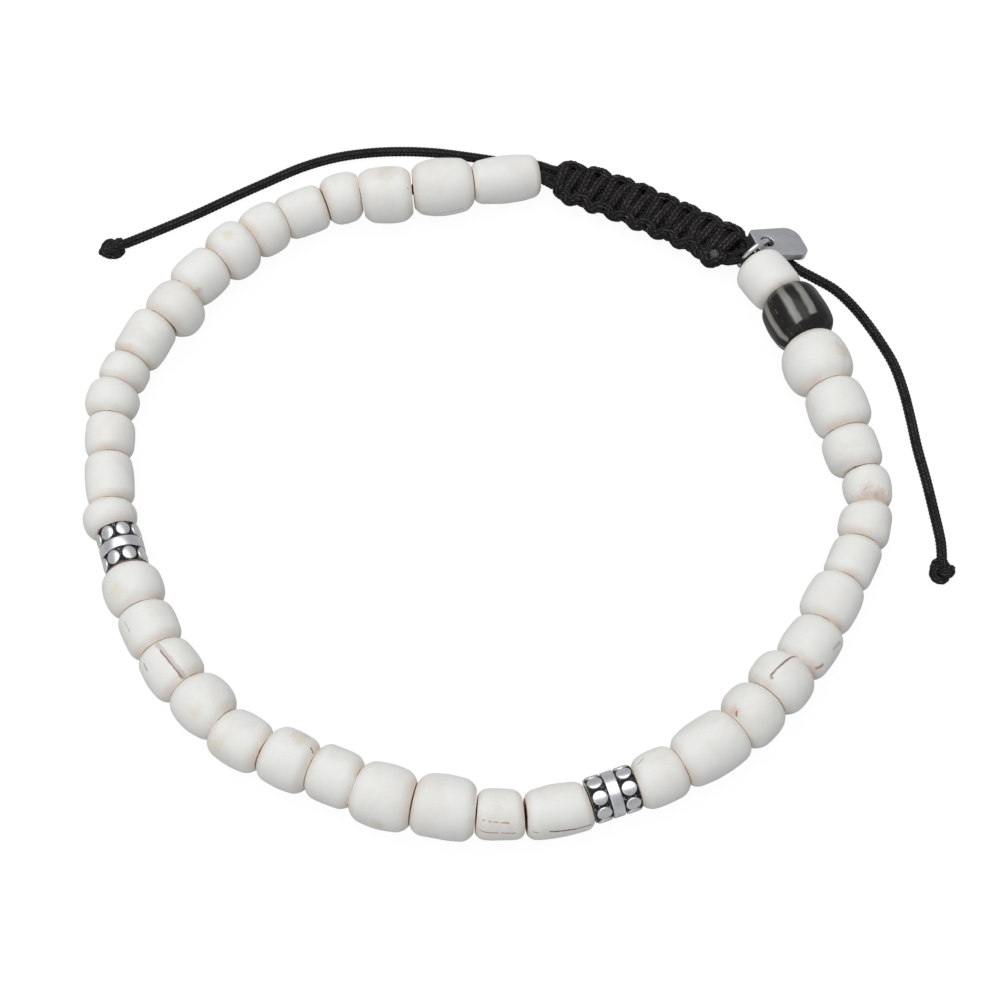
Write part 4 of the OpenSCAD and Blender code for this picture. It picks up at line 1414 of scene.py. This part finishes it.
class ANKLET_OT_spacers(bpy.types.Operator):
    """Adds the two silver spacers: a drum with a raised band, end rims and two rings of studs"""
    bl_idname = "anklet.spacers"
    bl_label = "Silver spacers"
    right_turn: FloatProperty(name="Right spacer's turn", default=30,
                              description="Turn of its first stud in degrees")
    left_turn: FloatProperty(name="Left spacer's turn", default=20,
                             description="Turn of its first stud in degrees")

    def stud(self, silver):
        """One flat stud with a rounded edge, wrapped on the drum's curve at X."""
        r = silver.stud_d / MM / 2
        section = [(0, 0.03), (r * 0.3, 0.027), (r * 0.6, 0.017), (r - 0.15, 0.0),
                   (r - 0.08, -0.016), (r - 0.03, -0.05), (r, -0.11), (r, -0.4), (0, -0.4)]
        obj = spin_section("stud", section, 28)
        for vertex in obj.data.vertices:
            x, y, z = vertex.co / MM
            turn = y / SPACER_R
            vertex.co = Vector(((SPACER_R + z) * math.cos(turn), (SPACER_R + z) * math.sin(turn),
                                x)) * MM
        return obj

    def drum(self):
        """The spacer without its studs; its second material lies on the sunk ground."""
        section = [(r, -z) for r, z in SPACER_HALF] + [(SPACER_R, 0)]
        section += SPACER_HALF[::-1] + [(BORE_R, 0)]
        drum = spin_section("drum", section, 80)
        for face in drum.data.polygons:
            r, z = math.hypot(face.center.x, face.center.y) / MM, abs(face.center.z) / MM
            face.material_index = int(GROUND_FROM < r < GROUND_R + 0.09
                                      and GROUND_LOW < z < GROUND_HIGH)
        return drum

    def execute(self, context):
        silver = context.scene.anklet_silver
        bright = silver_material("spacer_relief", silver.relief, roughness=0.34, grain=0.25,
                                 scratch=0.3, strength=0.12)
        ground = ground_material(silver)
        for name, turn in (("spacer_right", self.right_turn), ("spacer_left", self.left_turn)):
            drum = self.drum()
            drum.data.materials.append(bright)
            drum.data.materials.append(ground)
            first = self.stud(silver)
            move_mesh(first, Matrix.Rotation(math.radians(turn), 4, "Z"))
            first.data.materials.append(bright)
            studs = [first]
            for row in (-STUD_ROW, STUD_ROW):
                for i in range(silver.stud_count):
                    if row < 0 and i == 0:
                        continue
                    copy = first.copy()
                    copy.data = first.data.copy()
                    context.collection.objects.link(copy)
                    move_mesh(copy, Matrix.Translation((0, 0, row * MM))
                              @ Matrix.Rotation(math.tau * i / silver.stud_count, 4, "Z"))
                    studs.append(copy)
            move_mesh(first, Matrix.Translation((0, 0, -STUD_ROW * MM)))
            join([drum] + studs)
            move_mesh(drum, between(*hole_ends(number_of(name))))
            bpy.ops.object.shade_smooth_by_angle(angle=math.radians(40))
            finish_piece(drum, "studded_" + name, name)
        return {"FINISHED"}


class ANKLET_OT_jump_ring(bpy.types.Operator):
    """Adds the closed jump ring"""
    bl_idname = "anklet.jump_ring"
    bl_label = "Jump ring"

    def execute(self, context):
        silver = context.scene.anklet_silver
        wire = silver.ring_wire / MM / 2
        grip = raised(loop_at(loop_length - RING_BACK), bare_z(1, RIGHT_BARE - RING_BACK))
        way = unit(np.array(TAG_HOLE) - grip)
        middle = np.array(TAG_HOLE) - way * RING_D / 2
        section = [(RING_D / 2 + wire * math.cos(a), wire * math.sin(a))
                   for a in np.arange(24) / 24 * math.tau]
        obj = spin_section("ring", section, 96)
        move_mesh(obj, Matrix.Translation(Vector(middle) * MM)
                  @ Matrix.Rotation(math.atan2(way[1], way[0]), 4, "Z")
                  @ Matrix.Rotation(-math.asin(way[2]), 4, "Y")
                  @ Matrix.Rotation(math.radians(90 + RING_LEAN), 4, "X"))
        clear_selection(obj)
        bpy.ops.object.shade_smooth()
        material = silver_material("ring_silver", silver.ring_tone, roughness=0.16, grain=0.3,
                                   scratch=0.6, strength=0.1)
        finish_piece(obj, "jump_ring_wire", "jump_ring", material)
        return {"FINISHED"}


class ANKLET_OT_tag(bpy.types.Operator):
    """Adds the plain tag with its hole, one well rounded corner and softened edges"""
    bl_idname = "anklet.tag"
    bl_label = "Tag"

    def outline(self):
        """Even points round the tag's outline in millimetres, the hole at the origin."""
        dense = []
        for x, y, r, turn in TAG_CORNERS:
            cx, cy = x - math.copysign(r, x), y - math.copysign(r, y)
            dense += [(cx + r * math.cos(math.radians(a)), cy + r * math.sin(math.radians(a)))
                      for a in np.linspace(turn, turn + 90, 16)]
        dense = np.array(dense + dense[:1])
        run = run_along(dense)
        return points_at(dense, run, np.arange(TAG_STEPS) / TAG_STEPS * run[-1])

    def execute(self, context):
        silver = context.scene.anklet_silver
        outline = self.outline()
        start = math.atan2(outline[0][1], outline[0][0])
        around = start + np.arange(TAG_STEPS) / TAG_STEPS * math.tau
        hole = TAG_HOLE_R * np.column_stack([np.cos(around), np.sin(around)])
        loops = []
        for points in (outline, hole):
            clear_selection()
            bpy.ops.mesh.primitive_circle_add(vertices=TAG_STEPS, radius=0.003)
            loops.append(context.active_object)
            for vertex, (x, y) in zip(loops[-1].data.vertices, points):
                vertex.co = (x * MM, y * MM, -TAG_THICKNESS / 2 * MM)
        obj = join(loops)
        with editing(obj):
            bpy.ops.mesh.bridge_edge_loops()
            bpy.ops.mesh.select_all(action="SELECT")
            bpy.ops.mesh.extrude_region_move(
                TRANSFORM_OT_translate={"value": (0, 0, TAG_THICKNESS * MM)})
            bpy.ops.mesh.select_all(action="SELECT")
            bpy.ops.mesh.remove_doubles(threshold=1e-7)
        apply_modifier(obj, "BEVEL", width=TAG_SOFTENING * MM, segments=3, limit_method="ANGLE",
                       angle_limit=math.radians(50))
        x, y, z = (math.radians(a) for a in TAG_TURN)
        move_mesh(obj, Matrix.Translation(Vector(TAG_HOLE) * MM) @ Matrix.Rotation(z, 4, "Z")
                  @ Matrix.Rotation(y, 4, "Y") @ Matrix.Rotation(x, 4, "X"))
        bpy.ops.object.shade_smooth_by_angle(angle=math.radians(35))
        material = silver_material("tag_satin_silver", silver.tag_tone, roughness=0.44, grain=0.12,
                                   scratch=0.5, strength=0.25)
        finish_piece(obj, "plain_tag", "tag", material)
        return {"FINISHED"}


class ANKLET_PT_panel(bpy.types.Panel):
    """Lists the anklet's pieces and their settings"""
    bl_label = "Beaded anklet"
    bl_idname = "ANKLET_PT_panel"
    bl_space_type = "VIEW_3D"
    bl_region_type = "UI"
    bl_category = "Anklet"

    def draw(self, context):
        layout = self.layout
        for operator in OPERATORS:
            layout.operator(operator.bl_idname)
        for name in SETTINGS:
            group = getattr(context.scene, name)
            box = layout.box()
            for key in group.__annotations__:
                box.prop(group, key)


SETTINGS = {
    "anklet_cord": CordSettings,
    "anklet_beads": BeadSettings,
    "anklet_silver": SilverSettings,
    "anklet_stage": StageSettings,
}
OPERATORS = (
    ANKLET_OT_stage,
    ANKLET_OT_tails,
    ANKLET_OT_string,
    ANKLET_OT_knot_band,
    ANKLET_OT_white_beads,
    ANKLET_OT_striped_bead,
    ANKLET_OT_spacers,
    ANKLET_OT_jump_ring,
    ANKLET_OT_tag,
)
CLASSES = (*SETTINGS.values(), *OPERATORS, ANKLET_PT_panel)


def register():
    for kind in CLASSES:
        bpy.utils.register_class(kind)
    for name, group in SETTINGS.items():
        setattr(bpy.types.Scene, name, PointerProperty(type=group))


def unregister():
    for name in SETTINGS:
        delattr(bpy.types.Scene, name)
    for kind in reversed(CLASSES):
        bpy.utils.unregister_class(kind)


def main():
    register()
    for build in (group_cloudy, group_rim, group_vein, group_patch, group_wear, group_fibre):
        build()
    bpy.ops.anklet.stage()
    bpy.ops.anklet.tails()
    bpy.ops.anklet.string()
    bpy.ops.anklet.knot_band()
    bpy.ops.anklet.white_beads()
    bpy.ops.anklet.striped_bead()
    bpy.ops.anklet.spacers()
    bpy.ops.anklet.jump_ring()
    bpy.ops.anklet.tag()


if __name__ == "__main__":
    main()
